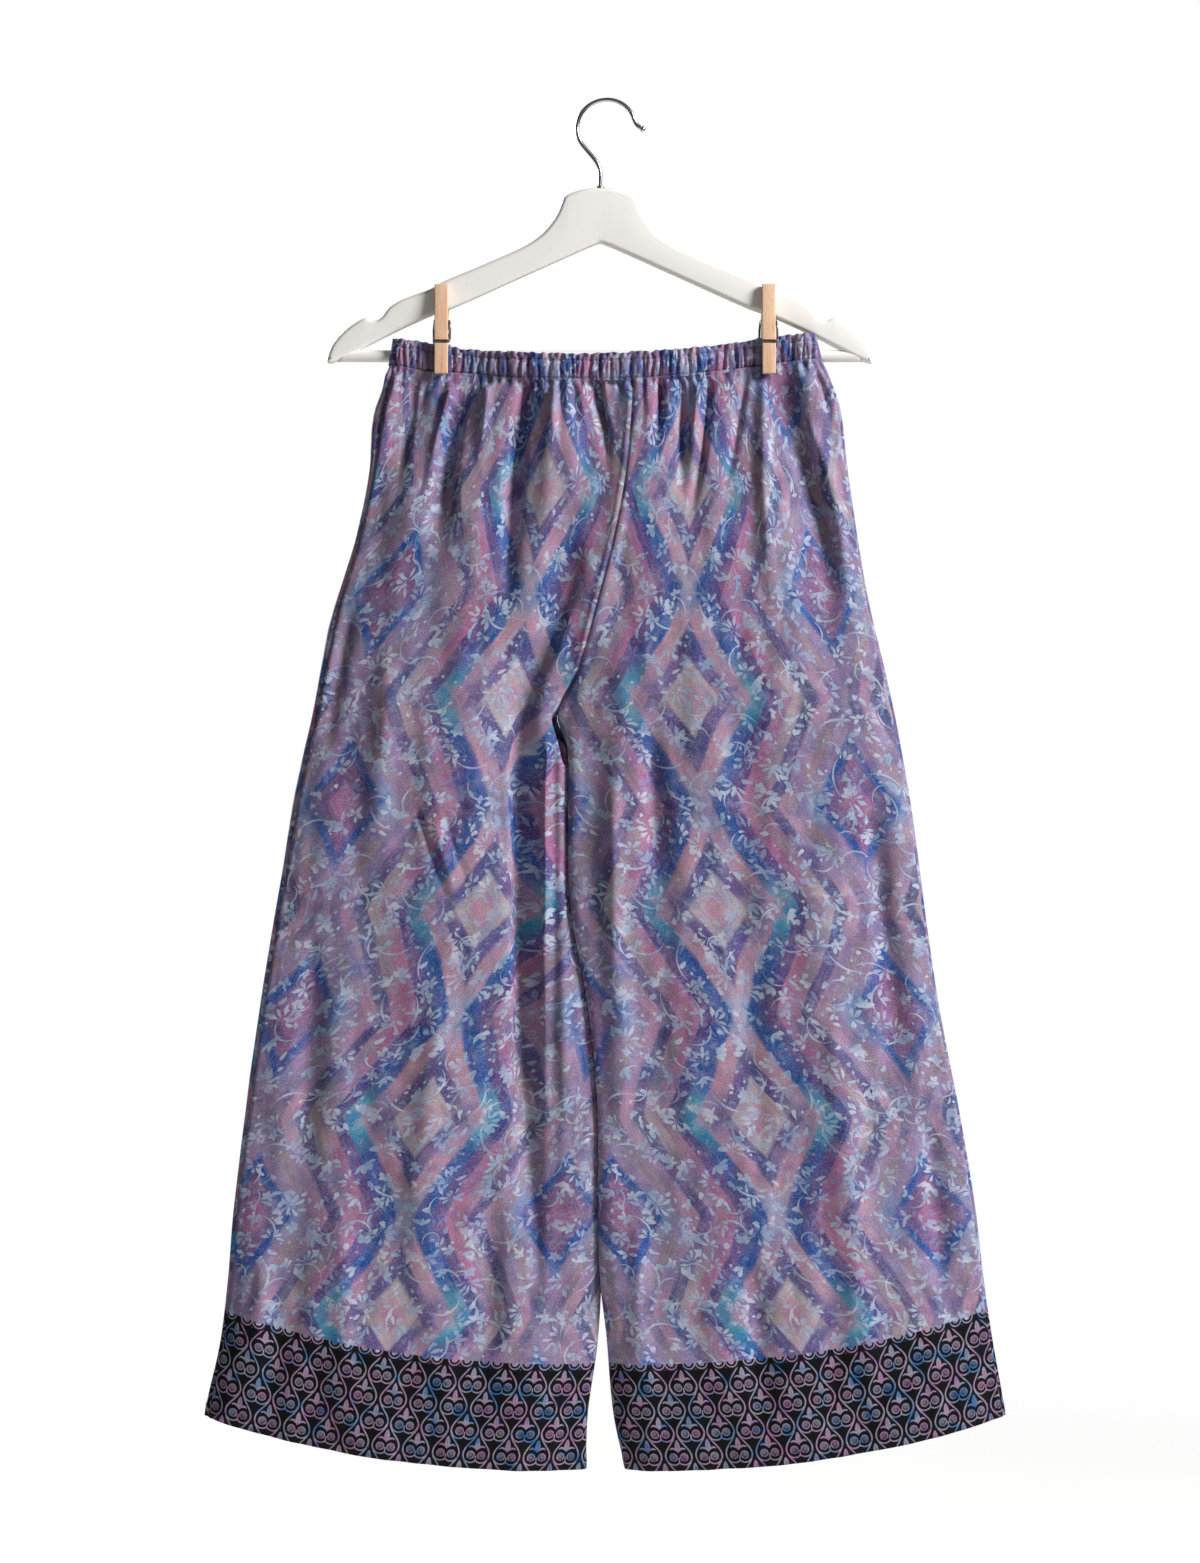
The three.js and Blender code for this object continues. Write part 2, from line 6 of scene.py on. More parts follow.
import bmesh
import bpy
import numpy as np
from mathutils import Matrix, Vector


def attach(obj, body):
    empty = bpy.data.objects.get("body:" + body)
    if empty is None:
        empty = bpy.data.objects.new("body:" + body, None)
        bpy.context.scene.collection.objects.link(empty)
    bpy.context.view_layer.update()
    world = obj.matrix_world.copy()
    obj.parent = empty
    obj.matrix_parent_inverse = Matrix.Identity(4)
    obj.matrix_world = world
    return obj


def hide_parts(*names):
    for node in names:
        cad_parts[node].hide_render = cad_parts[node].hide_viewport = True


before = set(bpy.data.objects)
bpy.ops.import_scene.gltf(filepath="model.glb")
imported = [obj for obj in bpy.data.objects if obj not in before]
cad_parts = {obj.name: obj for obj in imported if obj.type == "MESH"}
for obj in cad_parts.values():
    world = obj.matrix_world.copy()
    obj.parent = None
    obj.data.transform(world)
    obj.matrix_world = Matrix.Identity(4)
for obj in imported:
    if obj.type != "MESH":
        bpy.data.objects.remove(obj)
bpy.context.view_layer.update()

MM = 0.001
SEED = 20


# -------------------- camera

CAMERA_X, CAMERA_Y, CAMERA_Z = -0.004, -3.0, -0.5412
LENS = 86.7

camera_data = bpy.data.cameras.new("camera")
camera_data.lens = LENS
camera_data.clip_end = 50
camera = bpy.data.objects.new("camera", camera_data)
camera.location = (CAMERA_X, CAMERA_Y, CAMERA_Z)
camera.rotation_euler = (math.radians(90), 0, 0)
bpy.context.collection.objects.link(camera)
bpy.context.scene.camera = camera


# -------------------- sizes

HANG_Y = -7.6            # the plane between the pants' front and back
CASING = 2.4             # depth of the casing, before and behind that plane
ROUNDNESS = 0.6          # power of the sections' curve: less is squarer
CROTCH_Z = -488
CROTCH_RISE = 75         # height over which two legs become one width
GATHER_FALL = 130        # below the casing, where the cloth reaches its full depth
CASING_END_ROUND = 6
CASING_REACH = 175       # of the casing's edge table, each way
HEADER_SHARE = 0.26      # of the casing's height: the ruffle above its upper stitch line
LOWER_STITCH = 0.93      # the casing's lower stitch line, as a share of its height
BACK_DROP = 2
CASING_MID_Z = -205
MOUTH_BULGE, MOUTH_HALF, MOUTH_SLOPE = 12, 112, 60   # the open waist between the pins
EAR_BULGE, EAR_X, EAR_SLOPE = 3, 145, 12             # and the cloth outside them
HEM_TOP_Z, HEM_LOW_Z = -1044, -1086.5
HEM_CURVE = 2.2
HALF_GAP = 0.15          # between front and back at the seams, each way
SHEET = 0.8              # thickness of the cloth as seen
TOP_TUCK = 1.6           # how far the panels' tops go up behind the casing's lower edge

# z, left side seam, centre seam of the left half, of the right half, right side seam
OUTLINE = [
    (-180, -167.5, 22, 22, 166.5),
    (-205, -171.3, 22, 22, 172.5),
    (-225, -175.5, 22, 22, 180),
    (-250, -182, 21, 21, 186.5),
    (-300, -187.8, 16, 16, 193.3),
    (-350, -198.5, 6.5, 6.5, 200.6),
    (-400, -214.5, -6.5, -6.5, 209.5),
    (-450, -225.5, -20.5, -20.5, 220.8),
    (-488, -232.5, -38, -38, 229.6),
    (-515, -238.5, -29, -29, 234.8),
    (-560, -247.5, -28.3, -28.3, 242.6),
    (-640, -261, -26.5, -26.5, 253.3),
    (-720, -274, -12.5, -12.5, 265),
    (-800, -285, -5, -5, 280.5),
    (-880, -295, -4.6, -4.6, 293.6),
    (-935, -299.5, -3.8, -3, 300),
    (-985, -305.5, -5.5, 1.2, 307.3),
    (-1044, -317.2, -13.5, 6.5, 317.2),
    (-1090, -320, -15, 16.5, 320),
]
LEFT, INNER_LEFT, INNER_RIGHT, RIGHT = 1, 2, 3, 4

# z, how far the cloth stands forward and back of the hanging plane
FULLNESS = [
    (-205, 18, 12),
    (-320, 23, 17),
    (-488, 21, 18),
    (-720, 18, 17),
    (-935, 19, 18),
    (-1090, 22, 20),
]
FULL_FRONT, FULL_BACK = 1, 2

# x, upper edge, lower edge of the waist casing
CASING_EDGE = [
    (-175, -188.4, -210),
    (-150, -191.3, -215.5),
    (-130, -194.8, -217.4),
    (-100, -199.2, -219.2),
    (-60, -201.4, -223),
    (-20, -202.6, -223.3),
    (22, -201.2, -223.2),
    (62, -198.6, -220.5),
    (100, -193, -215.6),
    (130, -188.4, -211.4),
    (155, -186, -208),
    (175, -184.6, -206.2),
]
TOP, BOTTOM = 1, 2

# The solids' own largest folds: x and z of the top, x and z of the low end, half width, rise
BASE_FOLDS = {
    "front": [
        (-148, -215, -168, -330, 20, -5),
        (-108, -215, -122, -430, 26, 3),
        (-62, -220, -70, -400, 22, -4),
        (-10, -220, -10, -330, 18, -5),
        (60, -218, 70, -360, 22, -4),
        (140, -210, 192, -520, 26, -6),
        (-54, -470, -52, -980, 22, -9),
        (40, -620, 62, -1080, 40, -4),
        (150, -560, 196, -1085, 44, 3),
        (-170, -500, -196, -1085, 44, -3),
    ],
    "back": [
        (-120, -215, -150, -420, 26, -4),
        (-40, -220, -46, -360, 22, -4),
        (70, -216, 84, -400, 24, -4),
        (134, -212, 176, -480, 26, -4),
        (-120, -560, -150, -1080, 42, -4),
        (120, -540, 150, -1080, 42, -4),
    ],
}

# Creases and soft troughs that are finer than the solids' folds: x and z of the top, x and z of
# the low end, sideways bend, half width, rise, and the share of the length over which each fades in
CREASES = {
    "front": [
        (-151, -217, -165, -305, 2, 6, -3.4, 0.05),
        (-109, -222, -131, -370, -6, 12, -4.6, 0.05),
        (-120, -226, -141, -330, -3, 7, 2.6, 0.10),
        (-92, -224, -104, -300, 2, 8, 2.4, 0.10),
        (-62, -222, -79, -420, -2, 9, -4.6, 0.05),
        (-40, -226, -48, -300, 2, 8, 2.2, 0.10),
        (-11, -224, 1, -300, 4, 6, -3.6, 0.05),
        (-24, -224, -22, -270, 0, 5, -1.8, 0.10),
        (44, -224, 37, -290, 2, 5, -2.6, 0.05),
        (62, -222, 61, -320, 0, 5, -3.2, 0.05),
        (84, -219, 64, -345, 3, 5, -3.2, 0.05),
        (74, -222, 68, -300, 0, 6, 2.0, 0.10),
        (112, -217, 92, -320, 2, 5, -2.2, 0.05),
        (126, -218, 134, -420, -4, 9, 2.6, 0.10),
        (138, -214, 184, -430, 8, 13, -5.4, 0.04),
        (168, -216, 179, -262, 2, 4, -2.2, 0.10),
        (156, -240, 198, -420, 6, 12, 2.4, 0.20),
        (-46, -500, -46, -900, 0, 8, 2.8, 0.06),
        (-35, -500, -32, -900, 0, 7, 1.4, 0.06),
        (-76, -500, -84, -900, 6, 20, 3.0, 0.15),
        (-150, -560, -121, -648, 0, 4, -1.2, 0.15),
        (-137, -566, -112, -652, 0, 6, 0.9, 0.20),
        (-129, -560, -104, -640, 0, 4, -0.9, 0.20),
        (-196, -380, -228, -560, -4, 14, -2.4, 0.30),
        (-170, -430, -186, -640, 4, 18, 2.2, 0.30),
        (-232, -620, -252, -980, 6, 22, -3.0, 0.25),
        (-128, -700, -150, -1060, -6, 26, 2.6, 0.25),
        (-92, -840, -98, -1088, 3, 20, -3.0, 0.30),
        (-206, -860, -216, -1088, 4, 20, 2.6, 0.30),
        (-268, -900, -284, -1064, 2, 14, 2.2, 0.30),
        (8, -520, 20, -860, -5, 14, 3.0, 0.20),
        (34, -480, 40, -700, 4, 16, -2.6, 0.30),
        (96, -560, 120, -900, 8, 24, -2.6, 0.25),
        (206, -520, 236, -860, 4, 18, -2.8, 0.25),
        (176, -700, 200, -1084, 6, 24, 2.8, 0.25),
        (252, -760, 276, -1060, 2, 16, -2.4, 0.30),
        (24, -860, 40, -1086, -3, 16, 2.6, 0.30),
        (112, -900, 124, -1084, 4, 20, -2.8, 0.30),
        (8, -780, 70, -790, 0, 2.5, -0.5, 0.30),
        (4, -853, 84, -860, 0, 2.5, -0.5, 0.30),
        (150, -828, 236, -836, 0, 2.5, -0.4, 0.30),
    ],
    "back": [
        (-150, -215, -168, -320, 3, 7, -3.4, 0.05),
        (-112, -220, -126, -380, -4, 9, -3.8, 0.05),
        (-84, -222, -92, -300, 2, 8, 2.4, 0.10),
        (-52, -222, -62, -400, 2, 8, -3.8, 0.05),
        (-18, -224, -16, -320, -2, 7, -3.0, 0.05),
        (34, -224, 30, -340, 2, 7, -3.2, 0.05),
        (66, -221, 78, -300, 2, 8, 2.4, 0.10),
        (92, -218, 98, -390, -3, 8, -3.6, 0.05),
        (132, -214, 160, -420, 4, 9, -4.2, 0.05),
        (160, -214, 178, -300, 2, 6, -2.8, 0.05),
        (-96, -500, -100, -820, 3, 14, -3.4, 0.10),
        (2, -500, 6, -800, -3, 12, -3.6, 0.10),
        (-170, -540, -196, -1000, 6, 24, -3.0, 0.25),
        (-232, -620, -258, -1040, 4, 20, 2.6, 0.25),
        (-96, -760, -110, -1086, 4, 22, 2.8, 0.30),
        (66, -620, 82, -1080, 6, 24, -3.0, 0.25),
        (170, -540, 196, -1000, 6, 24, 2.8, 0.25),
        (236, -640, 262, -1060, 3, 18, -2.8, 0.25),
        (118, -820, 130, -1084, 4, 20, 2.6, 0.30),
    ],
}

# The deep fold of the left front panel, by the centre seam and the inner edge: z, x and depth
DEEP_FOLD = [
    (-300, -2, 0),
    (-345, -16, 2.5),
    (-385, -27, 6),
    (-428, -41, 10),
    (-465, -55, 13),
    (-490, -61, 14),
    (-540, -62, 15),
    (-620, -61, 15),
    (-740, -60, 14),
    (-830, -58, 10),
    (-910, -55, 5),
    (-985, -54, 0),
    (-1100, -54, 0),
]
DEEP_X, DEEP_DEPTH = 1, 2
DEEP_STEEP, DEEP_SOFT = 6.0, 25.0

# The small dark pocket under the crotch: its line, half width and rise
POCKET = (-38, -489, -31, -522)
POCKET_HALF = 3.4
POCKET_RISE = -8.0

# What the tables' rises are multiplied by in the finished cloth
CREASE_GAIN = 2.3
GATHER_GAIN = 2.8

# Seeded folds under the casing: where they start and end, the share that is short, and the ranges
# of length, depth, half width and step
GATHER_START, GATHER_END = -174.0, 181
SHORT_SHARE = 0.55
SHORT_FOLD, LONG_FOLD = (10, 26), (26, 75)
FOLD_DEPTH, FOLD_HALF, FOLD_STEP = (0.9, 1.9), (1.7, 2.6), (5.2, 9.6)
SWELL, SWELL_IN, SWELL_OUT, SWELL_SLOPE = 3.2, 10, 90, 80

# z, width of the cut cloth over the width it hangs in
GATHER = [(-180, 1.66), (-222, 1.6), (-260, 1.5), (-309, 1.35), (-400, 1.1), (-480, 1.0), (-1100, 1.0)]

# z, x of the print's middle column on the left half and on the right half, repeats of the print
PRINT_AXIS = [
    (-180, -40, 65, -0.80),
    (-222, -42, 65, -0.52),
    (-309, -48, 66, 0),
    (-475, -75, 68, 1),
    (-642, -97, 91, 2),
    (-807, -145, 123, 3),
    (-963, -169, 150, 4),
    (-1090, -190, 170, 4.82),
]
AXIS_LEFT, AXIS_RIGHT, AXIS_REPEAT = 1, 2, 3
REPEAT = 159             # height of the main print's repeat
BACK_SHIFT_X, BACK_SHIFT_Z = 37, 58      # the back's cut of the print, against the front's

# z, how far the left side seam lies in front of the left fold, across, and the right one
SEAM_SHIFT = [
    (-180, 3.0, 0.8),
    (-245, 4.6, 0.8),
    (-300, 3.6, 0.8),
    (-360, 2.8, 0.8),
    (-430, 4.0, 0.8),
    (-560, 3.2, 0.8),
    (-800, 2.2, 0.8),
    (-1090, 1.4, 0.8),
]
SHIFT_LEFT, SHIFT_RIGHT = 1, 2


# -------------------- small maths


def look_up(table, place, column):
    """The column of a table at places along its first column, on a smooth curve through the rows."""
    keys = np.array([row[0] for row in table], float)
    values = np.array([row[column] for row in table], float)
    if keys[0] > keys[-1]:
        keys, values = keys[::-1], values[::-1]
    slopes = np.empty_like(values)
    slopes[1:-1] = (values[2:] - values[:-2]) / (keys[2:] - keys[:-2])
    slopes[0] = (values[1] - values[0]) / (keys[1] - keys[0])
    slopes[-1] = (values[-1] - values[-2]) / (keys[-1] - keys[-2])
    place = np.asarray(place, float)
    row = np.clip(np.searchsorted(keys, place) - 1, 0, len(keys) - 2)
    span = keys[row + 1] - keys[row]
    s = np.clip((place - keys[row]) / span, 0, 1)
    s2, s3 = s * s, s * s * s
    return ((2 * s3 - 3 * s2 + 1) * values[row] + (s3 - 2 * s2 + s) * slopes[row] * span
            + (3 * s2 - 2 * s3) * values[row + 1] + (s3 - s2) * slopes[row + 1] * span)


def smooth(share):
    s = np.clip(share, 0, 1)
    return s * s * (3 - 2 * s)


def mix(a, b, share):
    return a + (b - a) * share


def bell(distance, width):
    return np.exp(-(distance / width) ** 2)


def lengths_along(path):
    steps = np.linalg.norm(np.diff(path, axis=0), axis=1)
    return np.concatenate([[0], np.cumsum(steps)])


# -------------------- cloth forms


def base_rise(folds, x, z):
    """The solids' own folds, as they are in the CAD."""
    rise = np.zeros_like(x)
    for x_top, z_top, x_low, z_low, half, height in folds:
        along = (z_top - z) / (z_top - z_low)
        across = np.abs(x - mix(x_top, x_low, along)) / half
        strength = smooth(along / 0.15) * smooth((1 - along) / 0.5)
        inside = (along > 0) & (along < 1) & (across < 1)
        rise += np.where(inside, height * strength * np.cos(np.minimum(across, 1) * np.pi / 2) ** 2, 0)
    return rise


def off_segment(x, z, x_top, z_top, x_low, z_low):
    """Distance from places on the cloth to a short straight line."""
    run = np.array([x_low - x_top, z_low - z_top], float)
    share = np.clip(((x - x_top) * run[0] + (z - z_top) * run[1]) / run.dot(run), 0, 1)
    return np.hypot(x - x_top - share * run[0], z - z_top - share * run[1])


def crease_rise(creases, x, z):
    """Troughs and ridges that run between two points, each on its own bend."""
    rise = np.zeros_like(x)
    for x_top, z_top, x_low, z_low, bend, half, height, fade in creases:
        run = np.array([x_low - x_top, z_low - z_top], float)
        length = np.hypot(*run)
        run /= length
        along = ((x - x_top) * run[0] + (z - z_top) * run[1]) / length
        aside = (x - x_top) * run[1] - (z - z_top) * run[0]
        aside = aside + bend * np.sin(np.clip(along, 0, 1) * np.pi)
        width = half * (0.75 + 0.5 * np.clip(along, 0, 1))
        strength = smooth(along / fade) * smooth((1 - along) / 0.6)
        rise += CREASE_GAIN * height * strength * bell(aside, width * 0.6)
    return rise


def gather_folds(face):
    """Seeded small folds that start at the casing: x, length, depth and half width of each."""
    rng = np.random.default_rng(SEED + (0 if face == "front" else 1))
    folds = []
    x = GATHER_START
    while x < GATHER_END:
        length = rng.uniform(*(SHORT_FOLD if rng.random() < SHORT_SHARE else LONG_FOLD))
        folds.append((x, length, rng.uniform(*FOLD_DEPTH), rng.uniform(*FOLD_HALF)))
        x += rng.uniform(*FOLD_STEP)
    return folds


GATHERS = {face: gather_folds(face) for face in ("front", "back")}


def gather_rise(face, x, z):
    """Small folds that hang from the casing and die out, over a slight swelling of the cloth."""
    edge = look_up(CASING_EDGE, np.clip(x, -CASING_REACH, CASING_REACH), BOTTOM)
    fall = np.maximum(edge - z, 0)
    rise = SWELL * smooth(fall / SWELL_IN) * smooth((SWELL_OUT - fall) / SWELL_SLOPE)
    for place, length, depth, half in GATHERS[face]:
        along = fall / length
        middle = place * (1 + 0.0010 * fall)
        width = half * (1 + 1.3 * np.clip(along, 0, 1))
        rise -= GATHER_GAIN * depth * (1 - smooth(along)) * bell(x - middle, width)
    return rise


def casing_depth(x, z, face):
    """Depth of the casing from the hanging plane: thin, but open between the pins at the front."""
    to_end = np.minimum(x - look_up(OUTLINE, z, LEFT), look_up(OUTLINE, z, RIGHT) - x)
    rounding = 1 - np.clip(to_end / CASING_END_ROUND, 0, 1)
    depth = (CASING + HALF_GAP) * np.sqrt(1 - rounding * rounding)
    if face == "front":
        depth = depth + MOUTH_BULGE * smooth((MOUTH_HALF - np.abs(x)) / MOUTH_SLOPE)
        depth = depth + EAR_BULGE * smooth((np.abs(x) - EAR_X) / EAR_SLOPE) * smooth(to_end / EAR_SLOPE)
    return np.maximum(depth, HALF_GAP)


def leg_share(z):
    """0 where the pants are one width, 1 where they are two legs."""
    return 1 - smooth((z - CROTCH_Z) / CROTCH_RISE)


def across_of(share, legs):
    """How far across a section a turn of it lies, from the side to the middle."""
    return mix(1 - np.cos(share * np.pi / 2), (1 - np.cos(share * np.pi)) / 2, legs)


def share_of(across, legs):
    """The turn round a section whose point lies that far across it."""
    low, high = np.zeros_like(across), np.ones_like(across)
    for _ in range(26):
        middle = (low + high) / 2
        below = across_of(middle, legs) < across
        low, high = np.where(below, middle, low), np.where(below, high, middle)
    return (low + high) / 2


def section_point(z, side, face, share):
    """x and depth of a point of one half's section; share runs from the side, 0, to the middle, 1."""
    outer = look_up(OUTLINE, z, LEFT if side < 0 else RIGHT)
    inner = look_up(OUTLINE, z, INNER_LEFT if side < 0 else INNER_RIGHT) + side * HALF_GAP
    legs = leg_share(z)
    x = mix(outer, inner, across_of(share, legs))
    quarter, half = np.sin(share * np.pi / 2), np.abs(np.sin(share * np.pi))
    turn = mix(quarter ** ROUNDNESS, half ** ROUNDNESS, legs)
    full = look_up(FULLNESS, z, FULL_FRONT if face == "front" else FULL_BACK) * turn
    fall = look_up(CASING_EDGE, x, BOTTOM) - z
    filled = mix(casing_depth(x, z, face), full, smooth(fall / GATHER_FALL))
    clear = smooth(share / 0.15) * smooth((1 - share) / 0.15)
    depth = np.maximum(filled + base_rise(BASE_FOLDS[face], x, z) * clear, HALF_GAP)
    return x, depth


def normals_of(points, flip):
    """Outward normals of a grid of points, rows running down and columns across."""
    down = np.gradient(points, axis=0)
    across = np.gradient(points, axis=1)
    normal = np.cross(down, across)
    normal /= np.maximum(np.linalg.norm(normal, axis=2, keepdims=True), 1e-9)
    return -normal if flip else normal


def row_arc(points):
    """Length along each row of the cloth, from its first column."""
    steps = np.linalg.norm(np.diff(points, axis=1), axis=2)
    return np.concatenate([np.zeros((points.shape[0], 1)), np.cumsum(steps, axis=1)], axis=1)


# -------------------- meshes


def new_object(name, mesh, material, replaced=None):
    """A piece that rides on the root and the CAD node that it stands for."""
    piece = bpy.data.objects.new(name, mesh)
    bpy.context.collection.objects.link(piece)
    mesh.materials.append(material)
    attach(piece, "root")
    if replaced:
        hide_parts(replaced)
    return piece


def mesh_from(name, points, faces, layers=None):
    """A mesh from points in millimetres and quads; layers holds UVs for each point by name."""
    faces = np.asarray(faces, np.int32)
    mesh = bpy.data.meshes.new(name)
    mesh.vertices.add(len(points))
    mesh.vertices.foreach_set("co", (np.asarray(points) * MM).astype(np.float32).ravel())
    mesh.loops.add(faces.size)
    mesh.loops.foreach_set("vertex_index", faces.ravel())
    mesh.polygons.add(len(faces))
    mesh.polygons.foreach_set("loop_start", np.arange(0, faces.size, faces.shape[1], dtype=np.int32))
    mesh.polygons.foreach_set("use_smooth", np.full(len(faces), True))
    for layer_name, uv in (layers or {}).items():
        layer = mesh.uv_layers.new(name=layer_name)
        layer.data.foreach_set("uv", uv.reshape(-1, 2)[faces.ravel()].astype(np.float32).ravel())
    mesh.update(calc_edges=True)
    mesh.validate()
    return mesh


def shell(name, outside, inside, layers, flip):
    """A closed sheet between two grids of points, the first on the outside."""
    rows, columns = outside.shape[:2]
    index = np.arange(rows * columns).reshape(rows, columns)
    other = index + rows * columns

    def quads(a, b, c, d):
        return np.stack([a, b, c, d], axis=-1).reshape(-1, 4)

    faces = [
        quads(index[:-1, :-1], index[1:, :-1], index[1:, 1:], index[:-1, 1:]),
        quads(other[:-1, :-1], other[:-1, 1:], other[1:, 1:], other[1:, :-1]),
        quads(index[:-1, 0], other[:-1, 0], other[1:, 0], index[1:, 0]),
        quads(index[:-1, -1], index[1:, -1], other[1:, -1], other[:-1, -1]),
        quads(index[0, :-1], index[0, 1:], other[0, 1:], other[0, :-1]),
        quads(index[-1, :-1], other[-1, :-1], other[-1, 1:], index[-1, 1:]),
    ]
    faces = np.concatenate(faces)
    if flip:
        faces = faces[:, ::-1]
    points = np.concatenate([outside.reshape(-1, 3), inside.reshape(-1, 3)])
    doubled = {key: np.concatenate([uv.reshape(-1, 2)] * 2) for key, uv in layers.items()}
    return mesh_from(name, points, faces, doubled)


# -------------------- leg panels

PANEL_COLUMNS = {"front": 200, "back": 160}
PANEL_ROWS = {"front": 228, "back": 200}
WRAP_COLUMNS = 8         # of a back panel, in front of the fold at its side seam
OVERLAP_X = 1.3          # how far the right leg's inner edge laps over the left leg's
OVERLAP_Y = 3.6
OVERLAP_REACH = 26
HEM_FOLD = 9.5           # depth of the turned hem
SEAM_GROOVE = 0.9
LEAST_DEPTH = 2.4        # how near a trough may come to the plane between front and back
LEAST_LEG_DEPTH = -5.5   # and how far past it the front's deep fold may go, below the crotch
EASE_DEPTH = 1.4         # softness of both limits
LIMIT_START, LIMIT_SLOPE = -0.6, 0.7     # depth of the base surface from which they hold
SEAM_LAP_X, SEAM_LAP_Y = 1.3, 1.0        # how far the left half goes under the right at the seam
LAP_END_Z, LAP_FADE = -985, 50           # where the right leg's lap over the left one ends
LEFT_LAP_X, LEFT_LAP_Y = 0.8, 0.9        # the left leg's share of that lap
ROW_EVEN, ROW_CROWDED, ROW_POWER = 0.45, 0.55, 1.9   # rows are closer together near the waist
WRAP_POWER = 1.3
HALF_WIDTH = 190.0       # of the pants, for turning the side seam's shift into a share
PANEL_TOP_Z, PANEL_HEIGHT = -223, 860    # for looking that shift up
TOP_GUESS = -223.8
SLOW_WAVES, PATCH_WAVES, PATCH_RISE = 26, 14, 0.07       # of the hanging cloth's slight bends
HEM_WAVE_REACH = 260
SEAM_CLEAR, GAP_CLEAR = 14, 12           # how near a seam the creases fade, at the side and the middle
TUCK_RISE, TUCK_REACH = -0.9, 3.0        # the panels' tops sink behind the casing's lower edge


def inner_shift(x, y, z, side, inner_edge):
    """The right leg hangs a little in front of the left one where they meet."""
    near = smooth(1 - np.abs(x - inner_edge) / OVERLAP_REACH)
    band = smooth((CROTCH_Z - 6 - z) / 26) * smooth((z - LAP_END_Z) / LAP_FADE)
    x_share = 1.0 if side > 0 else -LEFT_LAP_X
    y_share = -1.0 if side > 0 else LEFT_LAP_Y
    return x - near * band * OVERLAP_X * x_share, y + near * band * OVERLAP_Y * y_share


def panel_top(side, face, share, tuck):
    top = np.full_like(share, TOP_GUESS)
    for _ in range(3):
        x, _ = section_point(top, side, face, share)
        top = look_up(CASING_EDGE, x, BOTTOM) + tuck
    return top


def panel_grid(side, face):
    """Base surface of one leg panel and what its finish needs, as grids of rows and columns."""
    columns, rows = PANEL_COLUMNS[face], PANEL_ROWS[face]
    forward = -1 if face == "front" else 1
    even = np.linspace(0, 1, columns + 1)
    turned = (1 - np.cos(even * np.pi)) / 2
    if face == "back":
        wrap = -((1 - np.linspace(0, 1, WRAP_COLUMNS + 1)[:-1]) ** WRAP_POWER)
        rest = (1 - np.cos(np.linspace(0, 1, columns + 1 - WRAP_COLUMNS) * np.pi)) / 2
        turned = np.concatenate([wrap, rest])
    down = np.linspace(0, 1, rows + 1)
    down = ROW_EVEN * down + ROW_CROWDED * down ** ROW_POWER
    column = SHIFT_LEFT if side < 0 else SHIFT_RIGHT
    shift = np.array([look_up(SEAM_SHIFT, PANEL_TOP_Z - PANEL_HEIGHT * d, column) for d in down])
    start = (shift / HALF_WIDTH)[:, None]
    if face == "front":
        across = start + (1 - start) * turned[None, :]
        signed = across
    else:
        signed = np.where(turned[None, :] < 0, turned[None, :] * start, turned[None, :] + 0 * start)
        across = np.abs(signed)
    top_share = share_of(across[0], np.zeros_like(across[0]))
    top = np.empty_like(top_share)
    on_front = (signed[0] < 0) | (face == "front")
    for name, where in (("front", on_front), ("back", ~on_front)):
        if where.any():
            top[where] = panel_top(side, name, top_share[where], TOP_TUCK)
    curve = (1 - across) ** HEM_CURVE
    hem = mix(HEM_LOW_Z, HEM_TOP_Z, curve)
    z = mix(top[None, :], hem, down[:, None])
    share = share_of(across, leg_share(z))
    x, depth = np.empty_like(z), np.empty_like(z)
    before = (signed < 0) | (face == "front")
    for name, where in (("front", before), ("back", ~before)):
        if where.any():
            x[where], depth[where] = section_point(z[where], side, name, share[where])
    y = HANG_Y + np.where(before, -1.0, 1.0) * depth
    inner = look_up(OUTLINE, z, INNER_LEFT if side < 0 else INNER_RIGHT)
    x, y = inner_shift(x, y, z, side, inner)
    return {"points": np.stack([x, y, z], axis=-1), "hem": hem, "down": down,
            "inner": inner, "flip": side * forward < 0}


def seam_profile(side, face, gap, z):
    """Rise of the cloth beside the centre seam: a groove, and the allowance pressed to the right."""
    above = smooth((z - CROTCH_Z + 4) / 12)
    if face == "front" and side > 0:
        rise = 1.1 * bell(gap - 3.5, 3.6)
    elif face == "front":
        rise = 1.3 * bell(gap - 2.6, 2.2) - 1.4 * bell(gap - 13, 9)
    else:
        rise = 0.6 * bell(gap - 3.5, 3.6) if side > 0 else -0.6 * bell(gap, 10)
    return above * (rise - SEAM_GROOVE * bell(gap, 1.1))


def held_apart(y, base_y, z, face):
    """Keeps the troughs of the front and of the back from passing through each other."""
    toward = -1 if face == "front" else 1
    depth, base = (y - HANG_Y) * toward, (base_y - HANG_Y) * toward
    least = np.where(z > CROTCH_Z, LEAST_DEPTH, LEAST_LEG_DEPTH) if face == "front" else LEAST_DEPTH
    keep = np.minimum(least, base)
    eased = keep + np.logaddexp(0, (depth - keep) / EASE_DEPTH) * EASE_DEPTH
    return HANG_Y + toward * mix(depth, eased, smooth((base - LIMIT_START) / LIMIT_SLOPE))


